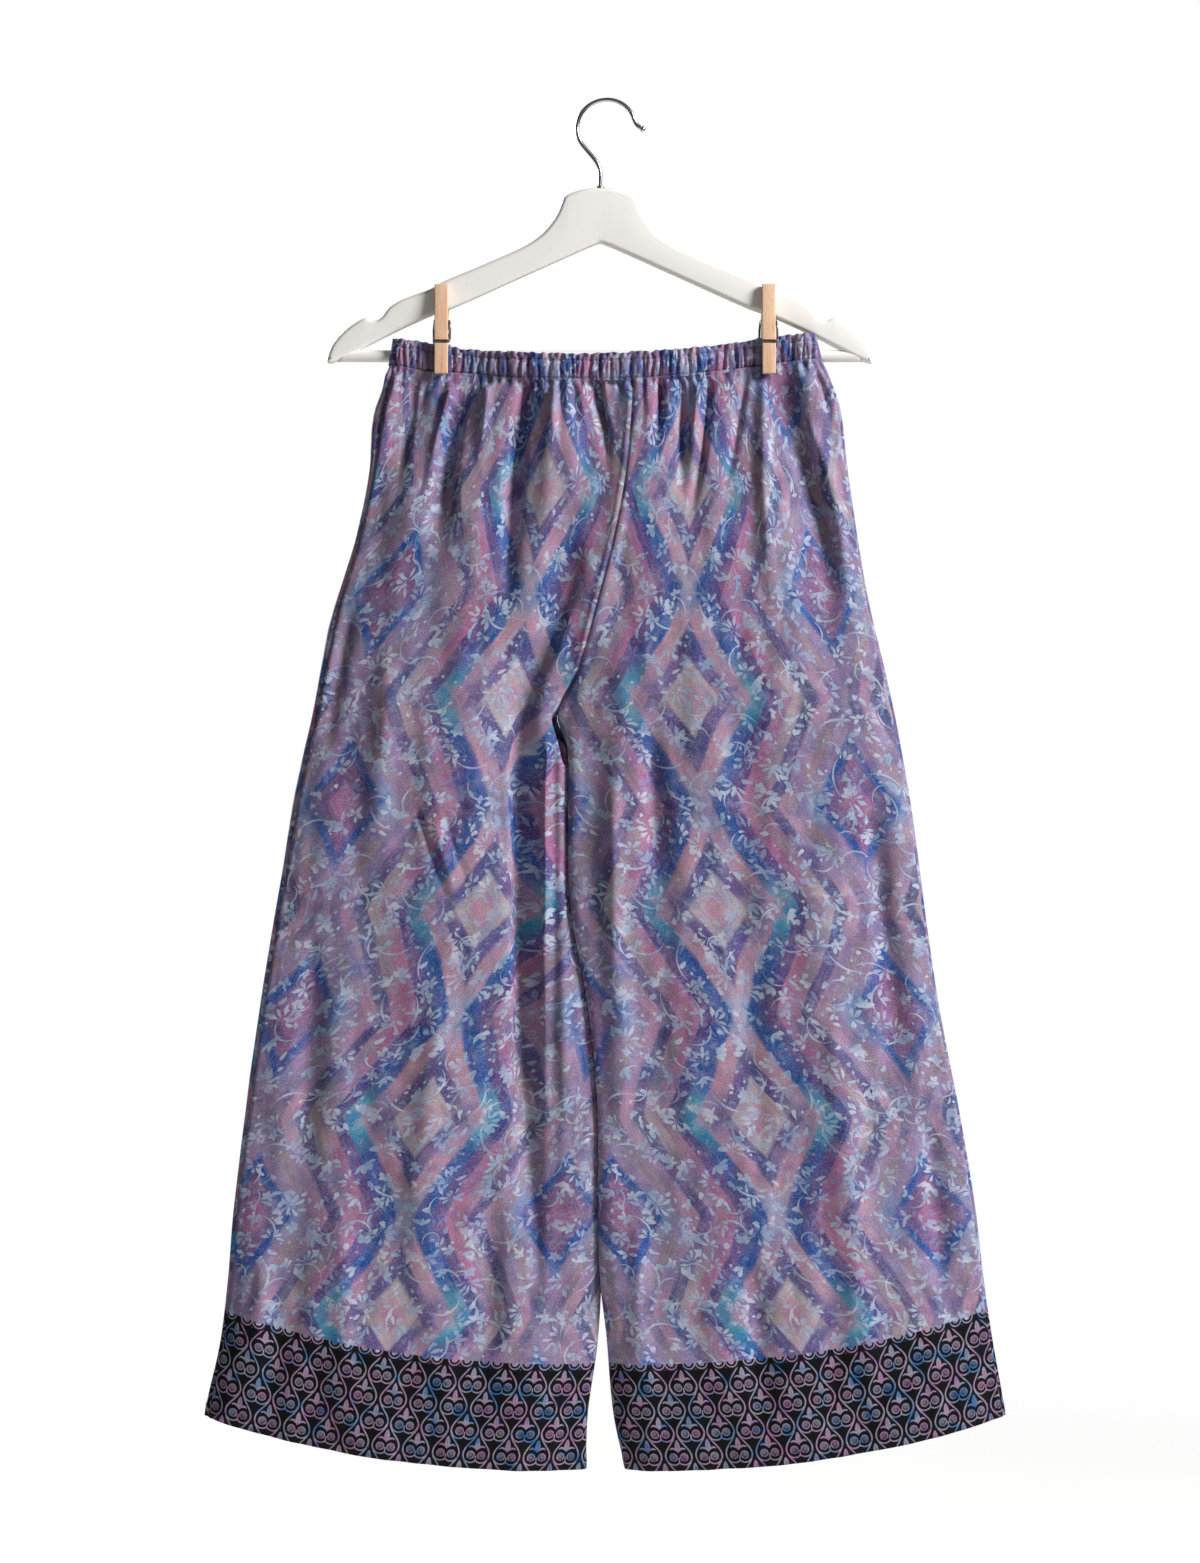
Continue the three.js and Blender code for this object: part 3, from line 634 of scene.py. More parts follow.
def panel_print(side, face, points, arc):
    """Where the print lies on a panel: across and down it, and across the border at the hem."""
    x, z = points[..., 0], points[..., 2]
    axis_x = look_up(PRINT_AXIS, z, AXIS_LEFT if side < 0 else AXIS_RIGHT)
    axis_arc = np.empty(len(points))
    for row in range(len(points)):
        order = np.argsort(x[row])
        axis_arc[row] = np.interp(axis_x[row].mean(), x[row][order], arc[row][order])
    along = (arc - axis_arc[:, None]) * (-side)
    print_u = along * look_up(GATHER, z, 1)
    print_v = look_up(PRINT_AXIS, z, AXIS_REPEAT) * REPEAT
    if face == "back":
        print_u = BACK_SHIFT_X - print_u
        print_v = print_v + BACK_SHIFT_Z
    return print_u, print_v, along


def panel_rise(side, face, grid, arc, gap, above_hem):
    """How far the finished cloth stands out from its base surface; gap is to the centre seam."""
    x, z = grid["points"][..., 0], grid["points"][..., 2]
    clear = smooth(arc / SEAM_CLEAR) * smooth(gap / GAP_CLEAR)
    rise = crease_rise(CREASES[face], x, z) * np.maximum(clear, 0.15 * smooth(arc / 6))
    rise += gather_rise(face, x, z) * smooth(arc / 5)
    if face == "front" and side < 0:
        aside = x - look_up(DEEP_FOLD, z, DEEP_X)
        deep = bell(aside, np.where(aside > 0, DEEP_STEEP, DEEP_SOFT))
        rise -= look_up(DEEP_FOLD, z, DEEP_DEPTH) * deep * smooth(gap / 6)
        rise += POCKET_RISE * bell(off_segment(x, z, *POCKET), POCKET_HALF)
    rise += seam_profile(side, face, gap, z)
    rise -= SEAM_GROOVE * bell(arc, 1.2)
    rise += 0.5 * bell(arc - 3.2, 2.4)
    rise += wrinkles(x, z, face) * clear
    fold = smooth((HEM_FOLD - above_hem) / 1.2)
    rise += 0.45 * fold - 0.35 * bell(above_hem - HEM_FOLD + 1.5, 0.9)
    rise += hem_waves(x, z, above_hem, face) * clear
    tuck = smooth(grid["down"] * PANEL_HEIGHT / TUCK_REACH)[:, None]
    return mix(TUCK_RISE, rise, tuck)


def panel_piece(side, face, material):
    """The finished cloth of one leg panel; also what its hem's stitches are taken from."""
    grid = panel_grid(side, face)
    points, z = grid["points"], grid["points"][..., 2]
    arc = row_arc(points)
    gap = np.abs(points[..., 0] - grid["inner"])
    above_hem = z - grid["hem"]
    rise = panel_rise(side, face, grid, arc, gap, above_hem)
    toward = -1 if face == "front" else 1
    level = bell(gap, 4.0)[..., None] * smooth((z - CROTCH_Z + 6) / 6)[..., None]
    way = mix(normals_of(points, grid["flip"]), np.array([0.0, toward, 0.0]), level)
    outside = points + way * rise[..., None]
    if side < 0:
        under = smooth((4.0 - gap) / 4.0) * smooth((z - CROTCH_Z + 2) / 6)
        outside[..., 0] += SEAM_LAP_X * under
        outside[..., 1] -= toward * SEAM_LAP_Y * under
    outside[..., 1] = held_apart(outside[..., 1], points[..., 1], z, face)
    inside = outside - normals_of(outside, grid["flip"]) * SHEET
    print_u, print_v, along = panel_print(side, face, points, arc)
    layers = {
        "Print": np.stack([print_u, print_v], axis=-1) * MM,
        "Hem": np.stack([along, above_hem], axis=-1) * MM,
    }
    side_name = "left" if side < 0 else "right"
    name = f"cloth_panel_{face}_{side_name}"
    mesh = shell(name, outside, inside, layers, grid["flip"])
    piece = new_object(name, mesh, material, f"panel_{face}_{side_name}")
    return piece, {"outside": outside, "flip": grid["flip"], "above_hem": above_hem}


def wrinkles(x, z, face):
    """Slight uneven bends of hanging cloth, mostly upright, as a sum of seeded slow waves."""
    rng = np.random.default_rng(SEED + (7 if face == "front" else 8))
    rise = np.zeros_like(x)
    for _ in range(SLOW_WAVES):
        wide = rng.uniform(16, 70)
        tall = wide * rng.uniform(2.2, 7.0)
        slant = rng.uniform(-0.22, 0.22)
        phase = rng.uniform(0, 2 * np.pi, 2)
        size = 0.010 * wide * rng.uniform(0.4, 1.0)
        bent = phase[0] + 1.3 * np.sin(z / tall + phase[1])
        wave = np.sin(2 * np.pi * (x + slant * z) / wide + bent)
        rise += size * wave * (0.5 + 0.5 * np.sin(2 * np.pi * z / tall + phase[1]))
    for _ in range(PATCH_WAVES):
        wide = rng.uniform(7, 16)
        angle = rng.uniform(0, np.pi)
        phase = rng.uniform(0, 2 * np.pi, 2)
        patch = np.maximum(np.sin(x / 41 + phase[0]) * np.sin(z / 57 + phase[1]), 0)
        run = x * np.cos(angle) + z * np.sin(angle)
        rise += PATCH_RISE * patch * np.sin(2 * np.pi * run / wide + phase[0])
    return rise


def hem_waves(x, z, above_hem, face):
    """Waves of the hem that die out upwards; the back's run against the front's."""
    grow = smooth(1 - above_hem / HEM_WAVE_REACH)
    turn = 0.0 if face == "front" else 1.7
    return grow * (1.5 * np.sin(x / 17.5 + turn + z / 160) + 0.9 * np.sin(x / 9.3 + 2 * turn - z / 120)
                   + 0.35 * np.sin(x / 4.1 + turn) * smooth(1 - above_hem / 60))


# -------------------- waist casing

CASING_COLUMNS = {"front": 440, "back": 360}
CASING_ROWS = {"front": 34, "back": 30}
CHANNEL_RISE = 1.9       # of the cloth over the elastic
PLEAT_GAIN = 2.3
PUCKERS, PUCKER_REACH, PUCKER_RISE = 160, 176, 1.9       # of the ruffle
STITCH_SINK, STITCH_PUFF, STITCH_BEAT = 0.75, 0.22, 3.1
CENTRE_SEAM_X = 22
PIN_PRESS, PIN_PRESS_SLOPE = 12, 6       # how wide the pins hold the casing flat
CASING_THICK, RUFFLE_THICK = 1.4, 0.9
HEM_MAP_Z = 1090


def casing_pleats(face):
    """Seeded gathers across the channel: x, width, depth, and the middle and height as shares."""
    rng = np.random.default_rng(SEED + (3 if face == "front" else 4))
    pleats = []
    for x, _, depth, _ in GATHERS[face]:
        pleats.append((x, rng.uniform(0.9, 1.4), 0.7 + 0.5 * depth, rng.uniform(0.45, 0.75),
                       rng.uniform(0.5, 0.9)))
        pleats.append((x + rng.uniform(2.4, 5.2), rng.uniform(0.6, 1.0), rng.uniform(0.3, 0.8),
                       rng.uniform(0.3, 0.95), rng.uniform(0.18, 0.4)))
    return pleats


def casing_grid(face):
    """Base surface of the casing, and how far down it each point lies, in shares and in height."""
    forward = -1 if face == "front" else 1
    drop = 0 if face == "front" else BACK_DROP
    even = np.linspace(0, 1, CASING_COLUMNS[face] + 1)
    across = 0.8 * even + 0.2 * (1 - np.cos(even * np.pi)) / 2
    across[0], across[-1] = 0, 1
    down, across = np.meshgrid(np.linspace(0, 1, CASING_ROWS[face] + 1), across, indexing="ij")
    x, z = np.zeros_like(down), np.full_like(down, CASING_MID_Z)
    for _ in range(3):
        x = mix(look_up(OUTLINE, z, LEFT), look_up(OUTLINE, z, RIGHT), across)
        z = mix(look_up(CASING_EDGE, x, TOP) - drop, look_up(CASING_EDGE, x, BOTTOM), down)
    points = np.stack([x, HANG_Y + forward * casing_depth(x, z, face), z], axis=-1)
    height = look_up(CASING_EDGE, x, TOP) - drop - look_up(CASING_EDGE, x, BOTTOM)
    return points, down, height


def casing_rise(face, x, down, height, header):
    """How far the casing stands out from its base surface, and how far its ruffle is lifted."""
    channel = np.sin(np.clip((down - HEADER_SHARE) / (LOWER_STITCH - HEADER_SHARE), 0, 1) * np.pi)
    rise = CHANNEL_RISE * channel ** 0.7
    for place, width, depth, middle, tall in casing_pleats(face):
        upright = bell(down - middle, tall)
        aside = x - place - 0.5 * np.sin(down * 5 + place)
        rise -= PLEAT_GAIN * depth * bell(aside, width) * upright * (1 - 0.35 * header)
    rng = np.random.default_rng(SEED + (5 if face == "front" else 6))
    beat = np.cumsum(rng.uniform(2.2, 3.8, PUCKERS)) - PUCKER_REACH
    lift = np.zeros_like(x)
    for count, place in enumerate(beat):
        sway = 1.0 if count % 2 else -1.0
        size = rng.uniform(0.35, 1.0)
        rise += sway * size * PUCKER_RISE * bell(x - place, 1.15) * header
        lift += rng.uniform(-0.7, 0.9) * bell(x - place, 1.8) * header
    for line in (HEADER_SHARE, LOWER_STITCH):
        rise -= STITCH_SINK * bell((down - line) * height, 0.8)
        puff = STITCH_PUFF * np.sin(x * 2 * np.pi / STITCH_BEAT)
        rise += puff * bell((down - line) * height, 1.6)
    rise -= 0.5 * smooth((down - LOWER_STITCH) / (1 - LOWER_STITCH))
    if face == "front":
        rise += 0.35 * bell(x - CENTRE_SEAM_X - 3.5, 1.6) - 0.5 * bell(x - CENTRE_SEAM_X, 0.8)
    for pin_x in (-PIN_X, PIN_X):
        pressed = smooth((PIN_PRESS - np.abs(x - pin_x)) / PIN_PRESS_SLOPE)
        rise = mix(rise, np.minimum(rise, -0.2), pressed)
    return rise, lift


def casing_piece(face, material):
    """The gathered casing and its ruffle; also the grid that its stitches are taken from."""
    points, down, height = casing_grid(face)
    x, z = points[..., 0], points[..., 2]
    flip = face == "back"
    header = smooth((HEADER_SHARE - down) / HEADER_SHARE)
    end = np.minimum(x - x[:, :1], x[:, -1:] - x)
    rise, lift = casing_rise(face, x, down, height, header)
    rise *= smooth(end / 2.5)
    outside = points + normals_of(points, flip) * rise[..., None]
    outside[..., 2] += lift * smooth(end / 3)
    thick = mix(CASING_THICK, RUFFLE_THICK, header)
    inside = outside - normals_of(outside, flip) * thick[..., None]
    near = HANG_Y + (0.2 if flip else -0.2)
    limit = np.maximum if flip else np.minimum
    inside[..., 1] = limit(inside[..., 1], near)
    middle = look_up(PRINT_AXIS, z, AXIS_RIGHT)
    left_middle = look_up(PRINT_AXIS, z, AXIS_LEFT)
    print_u = np.where(x > CENTRE_SEAM_X, x - middle, x - left_middle) * look_up(GATHER, z, 1)
    print_v = look_up(PRINT_AXIS, z, AXIS_REPEAT) * REPEAT
    layers = {
        "Print": np.stack([print_u, print_v], axis=-1) * MM,
        "Hem": np.stack([row_arc(points), z + HEM_MAP_Z], axis=-1) * MM,
    }
    name = f"cloth_casing_{face}"
    mesh = shell(name, outside, inside, layers, flip)
    piece = new_object(name, mesh, material, f"casing_{face}")
    return piece, {"outside": outside, "flip": flip}


# -------------------- tubes and lofts


def smooth_path(points, steps):
    """A curve through a few points, in even steps."""
    points = np.asarray(points, float)
    lengths = lengths_along(points)
    table = [(length, *point) for length, point in zip(lengths, points)]
    places = np.linspace(0, lengths[-1], steps)
    return np.stack([look_up(table, places, axis) for axis in (1, 2, 3)], axis=-1)


def loft(rings):
    """Quads between rings of points, closed at both ends on their centres."""
    rings = np.asarray(rings)
    first = np.repeat(rings[:1].mean(axis=1, keepdims=True), rings.shape[1], axis=1)
    last = np.repeat(rings[-1:].mean(axis=1, keepdims=True), rings.shape[1], axis=1)
    rings = np.concatenate([first, rings, last])
    count, around = rings.shape[:2]
    index = np.arange(count * around).reshape(count, around)
    after = np.roll(index, -1, axis=1)
    faces = np.stack([index[:-1], after[:-1], after[1:], index[1:]], axis=-1).reshape(-1, 4)
    return rings.reshape(-1, 3), faces


def tube_rings(path, radii, sides):
    """Rings round a path, turned as little as they can be from one to the next."""
    tangent = np.gradient(path, axis=0)
    tangent /= np.linalg.norm(tangent, axis=1, keepdims=True)
    side = np.cross(tangent[0], [0.0, 1.0, 0.0])
    if np.linalg.norm(side) < 0.3:
        side = np.cross(tangent[0], [0.0, 0.0, 1.0])
    angles = np.linspace(0, 2 * np.pi, sides, endpoint=False)
    rings = []
    for point, ahead, radius in zip(path, tangent, radii):
        side = side - ahead * np.dot(side, ahead)
        side /= np.linalg.norm(side)
        up = np.cross(ahead, side)
        rings.append(point + radius * (np.cos(angles)[:, None] * side + np.sin(angles)[:, None] * up))
    return np.array(rings)


def rounded_tube(path, radius, sides, end=0.8):
    """A tube whose ends are rounded over their last stretch."""
    lengths = lengths_along(path)
    to_end = np.minimum(lengths, lengths[-1] - lengths)
    share = 1 - np.clip(to_end / (radius * end), 0, 1)
    radii = radius * np.sqrt(np.maximum(1 - share ** 2, 0.02))
    return loft(tube_rings(path, radii, sides))


def join(parts):
    """Several lists of points and quads as one."""
    points, faces, start = [], [], 0
    for part_points, part_faces in parts:
        points.append(part_points)
        faces.append(part_faces + start)
        start += len(part_points)
    return np.concatenate(points), np.concatenate(faces)


# -------------------- stitches

THREAD = 0.21            # radius
STITCH_RUN = 2.3
STITCH_STEP = 3.0
STITCH_PLACES = np.array([0, 0.18, 0.5, 0.82, 1.0])      # along one stitch, as shares of its run
STITCH_LIFT = np.array([-0.25, 0.16, 0.26, 0.16, -0.25])
HEM_STITCH_IN = 1.5      # the hem's stitches lie this far below the top of its fold


def stitch_line(path, normal):
    """Short raised threads along a path that lies on the cloth."""
    lengths = lengths_along(path)
    parts = []
    for begin in np.arange(1.0, lengths[-1] - STITCH_STEP, STITCH_STEP):
        places = begin + STITCH_PLACES * STITCH_RUN
        centre = np.stack([np.interp(places, lengths, path[:, axis]) for axis in range(3)], axis=-1)
        out = np.stack([np.interp(places, lengths, normal[:, axis]) for axis in range(3)], axis=-1)
        rings = tube_rings(centre + out * STITCH_LIFT[:, None], np.full(5, THREAD), 5)
        parts.append(loft(rings))
    return join(parts)


def casing_thread(face, cloth, material):
    lines = []
    normal = normals_of(cloth["outside"], cloth["flip"])
    rows = cloth["outside"].shape[0] - 1
    for line in (HEADER_SHARE, LOWER_STITCH):
        row = int(round(line * rows))
        lines.append(stitch_line(cloth["outside"][row, 2:-2], normal[row, 2:-2]))
    mesh = mesh_from("thread", *join(lines))
    return new_object(f"thread_casing_{face}", mesh, material)


def hem_thread(name, cloth, material):
    above = cloth["above_hem"]
    outside = cloth["outside"]
    normal = normals_of(outside, cloth["flip"])
    target = HEM_FOLD - HEM_STITCH_IN
    path, out = [], []
    for column in range(1, outside.shape[1] - 1):
        heights = above[::-1, column]
        path.append([np.interp(target, heights, outside[::-1, column, axis]) for axis in range(3)])
        out.append([np.interp(target, heights, normal[::-1, column, axis]) for axis in range(3)])
    mesh = mesh_from("thread", *stitch_line(np.array(path), np.array(out)))
    return new_object(name, mesh, material)


# -------------------- hanger

ARM_THICK = 11
ARM_ROUND = 3.4
HANGER_X = -4
NECK_TOP_Z = -68.6
BAR_RADIUS = 4.75
BAR_Z = -202.2
BAR_HALF = 209
BAR_SAG = 0.25
WIRE_RADIUS = 1.6
SHANK_DEPTH = 12
HOOK_RADIUS = 22.2
HOOK_FLARE = 2.2
HOOK_TIP_RADIUS = 2.2
HOOK_TIP_X, HOOK_TIP_Z = 30, -21.1
HOOK_START, HOOK_END = 211, 14           # turn of the hook's crown, in degrees

# The wire's route before and after the crown
HOOK_SHANK = [(HANGER_X, 0, -66), (HANGER_X, 0, -54), (-6.6, 0, -47.6), (-13, 0, -39.6)]
HOOK_LAST = [(26, 0, -18.4), (29.6, 0, -20.9)]

# Height over the neck and radius, up the collar at the hook's foot
COLLAR = [(-1.2, 2.1), (-1.0, 3.1), (-0.2, 3.3), (0.9, 2.7), (1.3, 1.8)]

# Distance from the hanger's middle and height, round the right half of the arm
ARM_HALF = [
    (0, -68.6), (11, -69.2), (20, -71.6), (28, -75.6), (30.6, -81), (34, -89.4),
    (40, -98.6), (48, -107), (61, -115.4), (91, -128.9), (123, -142.4),
    (137, -149.8), (156, -156.8), (163, -160.4), (169, -164.8), (173.6, -171),
    (178.4, -174.3), (183, -173.4), (187.2, -172.2), (195, -176.2),
    (204.6, -183.6), (213.3, -193.9), (217.2, -204.5), (216.4, -208),
    (211.7, -207.3), (190.3, -196.9), (161, -182.2), (132.4, -169.3),
    (119.7, -165.1), (60, -138.4), (12, -116.9), (0, -112.2),
]


def arm_outline():
    """The arm's whole outline, x and z: the right half and its mirror image."""
    half = np.array([(away, 0, z) for away, z in ARM_HALF], float)
    right = smooth_path(half, 220)[:, (0, 2)]
    left = right[::-1][1:-1] * np.array([-1, 1])
    outline = np.concatenate([right, left])
    return outline + np.array([HANGER_X, 0])


def hanger_body(material):
    """A flat arm whose edges are rounded, as rings set in from its outline."""
    outline = arm_outline()
    after, before = np.roll(outline, -1, axis=0), np.roll(outline, 1, axis=0)
    run = after - before
    run /= np.linalg.norm(run, axis=1, keepdims=True)
    inward = np.stack([run[:, 1], -run[:, 0]], axis=-1)
    half = ARM_THICK / 2
    rings = []
    for turn in np.linspace(-90, 90, 13):
        angle = math.radians(turn)
        inset = ARM_ROUND * (1 - math.cos(angle))
        y = (half - ARM_ROUND) * np.sign(turn) + ARM_ROUND * math.sin(angle)
        flat = outline + inward * inset
        rings.append(np.stack([flat[:, 0], np.full(len(flat), y), flat[:, 1]], axis=-1))
    rings = np.array(rings)
    bm = bmesh.new()
    grid = [[bm.verts.new(Vector(p) * MM) for p in ring] for ring in rings]
    count = len(outline)
    for low, high in zip(grid[:-1], grid[1:]):
        for i in range(count):
            j = (i + 1) % count
            bm.faces.new((low[i], low[j], high[j], high[i]))
    bm.faces.new(grid[0][::-1])
    bm.faces.new(grid[-1])
    bmesh.ops.triangulate(bm, faces=[f for f in bm.faces if len(f.verts) > 4])
    bmesh.ops.recalc_face_normals(bm, faces=bm.faces)
    mesh = bpy.data.meshes.new("hanger_arm")
    bm.to_mesh(mesh)
    bm.free()
    mesh.polygons.foreach_set("use_smooth", np.full(len(mesh.polygons), True))
    new_object("hanger_arm", mesh, material, "hanger_body")


def hanger_bar(material):
    x = np.linspace(HANGER_X - BAR_HALF, HANGER_X + BAR_HALF, 90)
    sag = -BAR_SAG * (1 - ((x - HANGER_X) / BAR_HALF) ** 2)
    path = np.stack([x, 0 * x, BAR_Z + sag], axis=-1)
    radii = BAR_RADIUS * (1 + 0.006 * np.sin(x / 23.0) + 0.004 * np.sin(x / 7.1))
    mesh = mesh_from("bar", *loft(tube_rings(path, radii, 28)))
    new_object("hanger_trouser_bar", mesh, material, "hanger_bar")


def level_ring(x, z, radius, sides):
    turns = np.linspace(0, 2 * np.pi, sides, endpoint=False)
    return [(x + radius * math.cos(turn), radius * math.sin(turn), z) for turn in turns]


def hanger_hook(material):
    """The wire from the neck round the crown to its tip, with a ball on the tip and a small collar."""
    centre_z = WIRE_RADIUS - HOOK_RADIUS
    points = [(HANGER_X, 0, NECK_TOP_Z - SHANK_DEPTH), *HOOK_SHANK]
    for share in np.linspace(0, 1, 13):
        angle = math.radians(mix(HOOK_START, HOOK_END, share))
        radius = HOOK_RADIUS + HOOK_FLARE * float(smooth(share * 2 - 0.9))
        points.append((math.cos(angle) * radius, 0, centre_z + math.sin(angle) * radius))
    points += HOOK_LAST
    wire = rounded_tube(smooth_path(points, 220), WIRE_RADIUS, 16)
    tilts = np.linspace(-math.pi / 2, math.pi / 2, 11)[1:-1]
    ball = [level_ring(HOOK_TIP_X, HOOK_TIP_Z + HOOK_TIP_RADIUS * math.sin(tilt),
                       HOOK_TIP_RADIUS * math.cos(tilt), 18) for tilt in tilts]
    collar = [level_ring(HANGER_X, NECK_TOP_Z + 0.6 + up, radius, 24) for up, radius in COLLAR]
    mesh = mesh_from("hook", *join([wire, loft(ball), loft(collar)]))
    new_object("hanger_hook_wire", mesh, material, "hanger_hook")


# -------------------- clothespins

PIN_X = 130
PIN_WIDTH = 10.6
PIN_LENGTH = 72
PIN_TOP_Z = -146
PIN_JAW_THICK, PIN_MID_THICK, PIN_HANDLE_THICK = 5.2, 6.5, 4.8
PIN_CORNER = 0.75        # radius of a leg's long edges
PIN_EASE, PIN_EASE_LENGTH = 0.8, 0.9     # rounding of its ends
FRONT_TOP_Y, FRONT_LEAN = -6.3, 0.1      # inner faces of the legs: y at the top, and lean
BACK_TOP_Y, BACK_LEAN = 5.9, 0.004
GROOVE_Z, GROOVE_WIDTH, GROOVE_DEPTH = -192.3, 3, 1.6
SPRING_WIRE = 0.95
COIL_Z = -181
COIL_TURNS = 3.5
SPRING_CLEAR = 0.5
SEAM_GAP = 0.3


def front_face(z):
    return FRONT_TOP_Y + (z - PIN_TOP_Z) * FRONT_LEAN


def back_face(z):
    return BACK_TOP_Y + (z - PIN_TOP_Z) * BACK_LEAN


def pin_stations():
    """Heights of a leg's sections above its foot, closer at the ends and round the groove."""
    groove = GROOVE_Z - (PIN_TOP_Z - PIN_LENGTH)
    beside = GROOVE_WIDTH / 2 + 0.5
    return np.concatenate([
        [0, 0.25, 0.7, 1.3],
        np.linspace(2.5, 23.4, 9),
        [groove - beside],
        groove + np.linspace(-1, 1, 9) * GROOVE_WIDTH / 2,
        [groove + beside],
        np.linspace(groove + 3.2, PIN_LENGTH - 2.0, 16),
        [PIN_LENGTH - 1.2, PIN_LENGTH - 0.6, PIN_LENGTH - 0.2, PIN_LENGTH],
    ])


def pin_leg(side_name, face, material):
    """One wooden leg: rounded-corner sections up its length, with the spring's groove."""
    x0 = -PIN_X if side_name == "left" else PIN_X
    outward = -1 if face == "front" else 1
    inner = front_face if face == "front" else back_face
    bottom = PIN_TOP_Z - PIN_LENGTH
    groove = GROOVE_Z - bottom
    rings = []
    for up in pin_stations():
        z = bottom + up
        thick = mix(PIN_JAW_THICK, PIN_MID_THICK, np.clip(up / (groove - 2), 0, 1))
        thick = mix(thick, PIN_HANDLE_THICK, smooth((up - groove - 6) / (PIN_LENGTH - groove - 6)))
        from_groove = abs(up - groove) / (GROOVE_WIDTH / 2)
        if from_groove < 1:
            thick -= GROOVE_DEPTH * math.sqrt(max(1 - from_groove ** 2, 0))
        to_end = min(up, PIN_LENGTH - up)
        ease = PIN_EASE * (1 - math.sqrt(max(1 - (1 - min(to_end / PIN_EASE_LENGTH, 1)) ** 2, 0)))
        low, high = inner(z) + outward * ease, inner(z) + outward * (thick - ease)
        near, far = min(low, high), max(low, high)
        half = PIN_WIDTH / 2 - ease * 0.8
        ring = []
        for cx, cy, begin in ((half, far, 0), (-half, far, 90), (-half, near, 180), (half, near, 270)):
            ox = cx - math.copysign(PIN_CORNER, cx)
            oy = cy - PIN_CORNER if cy == far else cy + PIN_CORNER
            for turn in np.linspace(0, 90, 5):
                a = math.radians(begin + turn)
                ring.append((x0 + ox + PIN_CORNER * math.cos(a), oy + PIN_CORNER * math.sin(a), z))
        rings.append(ring)
    name = f"clothespin_{side_name}_{face}_leg"
    mesh = mesh_from(name, *loft(rings))
    new_object(name, mesh, material, f"pin_{side_name}_{face}")


def pin_spring(side_name, material):
    """One wire: across the front leg's groove, round the coil, and across the back leg's groove."""
    x0 = -PIN_X if side_name == "left" else PIN_X
    gap = back_face(COIL_Z) - front_face(COIL_Z)
    coil_y = (back_face(COIL_Z) + front_face(COIL_Z)) / 2
    coil_radius = gap / 2 - SEAM_GAP - SPRING_WIRE
    side_x = PIN_WIDTH / 2 + SPRING_CLEAR + SPRING_WIRE
    seat = PIN_MID_THICK - GROOVE_DEPTH + 0.2 + SPRING_WIRE
    front_y = front_face(GROOVE_Z) - seat
    back_y = back_face(GROOVE_Z) + seat
    points = [(-side_x, front_y, GROOVE_Z), (0, front_y, GROOVE_Z), (side_x - 0.6, front_y, GROOVE_Z),
              (side_x, front_y + 0.8, GROOVE_Z + 1.6), (side_x, coil_y - coil_radius - 3, COIL_Z - 5)]
    for share in np.linspace(0, 1, int(COIL_TURNS * 14) + 1):
        angle = math.pi - share * COIL_TURNS * 2 * math.pi
        points.append((mix(side_x, -side_x, share), coil_y + math.cos(angle) * coil_radius,
                       COIL_Z + math.sin(angle) * coil_radius))
    points += [(-side_x, coil_y + coil_radius + 2, COIL_Z - 5), (-side_x, back_y - 0.8, GROOVE_Z + 1.6),
               (0.6 - side_x, back_y, GROOVE_Z), (0, back_y, GROOVE_Z), (side_x, back_y, GROOVE_Z)]
    path = smooth_path(np.array(points) + np.array([x0, 0, 0]), 330)
    name = f"clothespin_{side_name}_spring"
    mesh = mesh_from(name, *rounded_tube(path, SPRING_WIRE, 10))
    new_object(name, mesh, material, f"pin_{side_name}_spring")


# -------------------- shader maths


class Sig:
    """A number inside a material, so that the print can be written as sums."""

    def __init__(self, tree, socket):
        self.tree, self.socket = tree, socket

    def __add__(self, other):
        return calc(self.tree, "ADD", self, other)

    __radd__ = __add__

    def __sub__(self, other):
        return calc(self.tree, "SUBTRACT", self, other)

    def __rsub__(self, other):
        return calc(self.tree, "SUBTRACT", other, self)

    def __mul__(self, other):
        return calc(self.tree, "MULTIPLY", self, other)

    __rmul__ = __mul__

    def __truediv__(self, other):
        return calc(self.tree, "DIVIDE", self, other)

    def __neg__(self):
        return self * -1.0


def plug(tree, value, socket):
    if isinstance(value, Sig):
        tree.links.new(value.socket, socket)
    elif isinstance(value, bpy.types.NodeSocket):
        tree.links.new(value, socket)
    else:
        socket.default_value = value


def calc(tree, operation, *values, clamp=False):
    node = tree.nodes.new("ShaderNodeMath")
    node.operation = operation
    node.use_clamp = clamp
    for value, socket in zip(values, node.inputs):
        plug(tree, value, socket)
    return Sig(tree, node.outputs[0])


def size_of(a):
    return calc(a.tree, "ABSOLUTE", a)


def least(a, b):
    return calc(a.tree, "MINIMUM", a, b)


def most(a, b):
    return calc(a.tree, "MAXIMUM", a, b)


def sine(a):
    return calc(a.tree, "SINE", a)


def root(a):
    return calc(a.tree, "SQRT", most(a, 0.0))


def above(value, edge, soft=0.3):
    """1 where value is over the edge, with a soft step."""
    return calc(value.tree, "MULTIPLY_ADD", value - edge, 1.0 / soft, 0.5, clamp=True)


def below(value, edge, soft=0.3):
    """1 where value is under the edge, with a soft step."""
    return calc(value.tree, "MULTIPLY_ADD", edge - value, 1.0 / soft, 0.5, clamp=True)


def length_of(a, b):
    return root(a * a + b * b)


def vector(tree, x, y, z=0.0):
    node = tree.nodes.new("ShaderNodeCombineXYZ")
    for value, socket in zip((x, y, z), node.inputs):
        plug(tree, value, socket)
    return node.outputs[0]


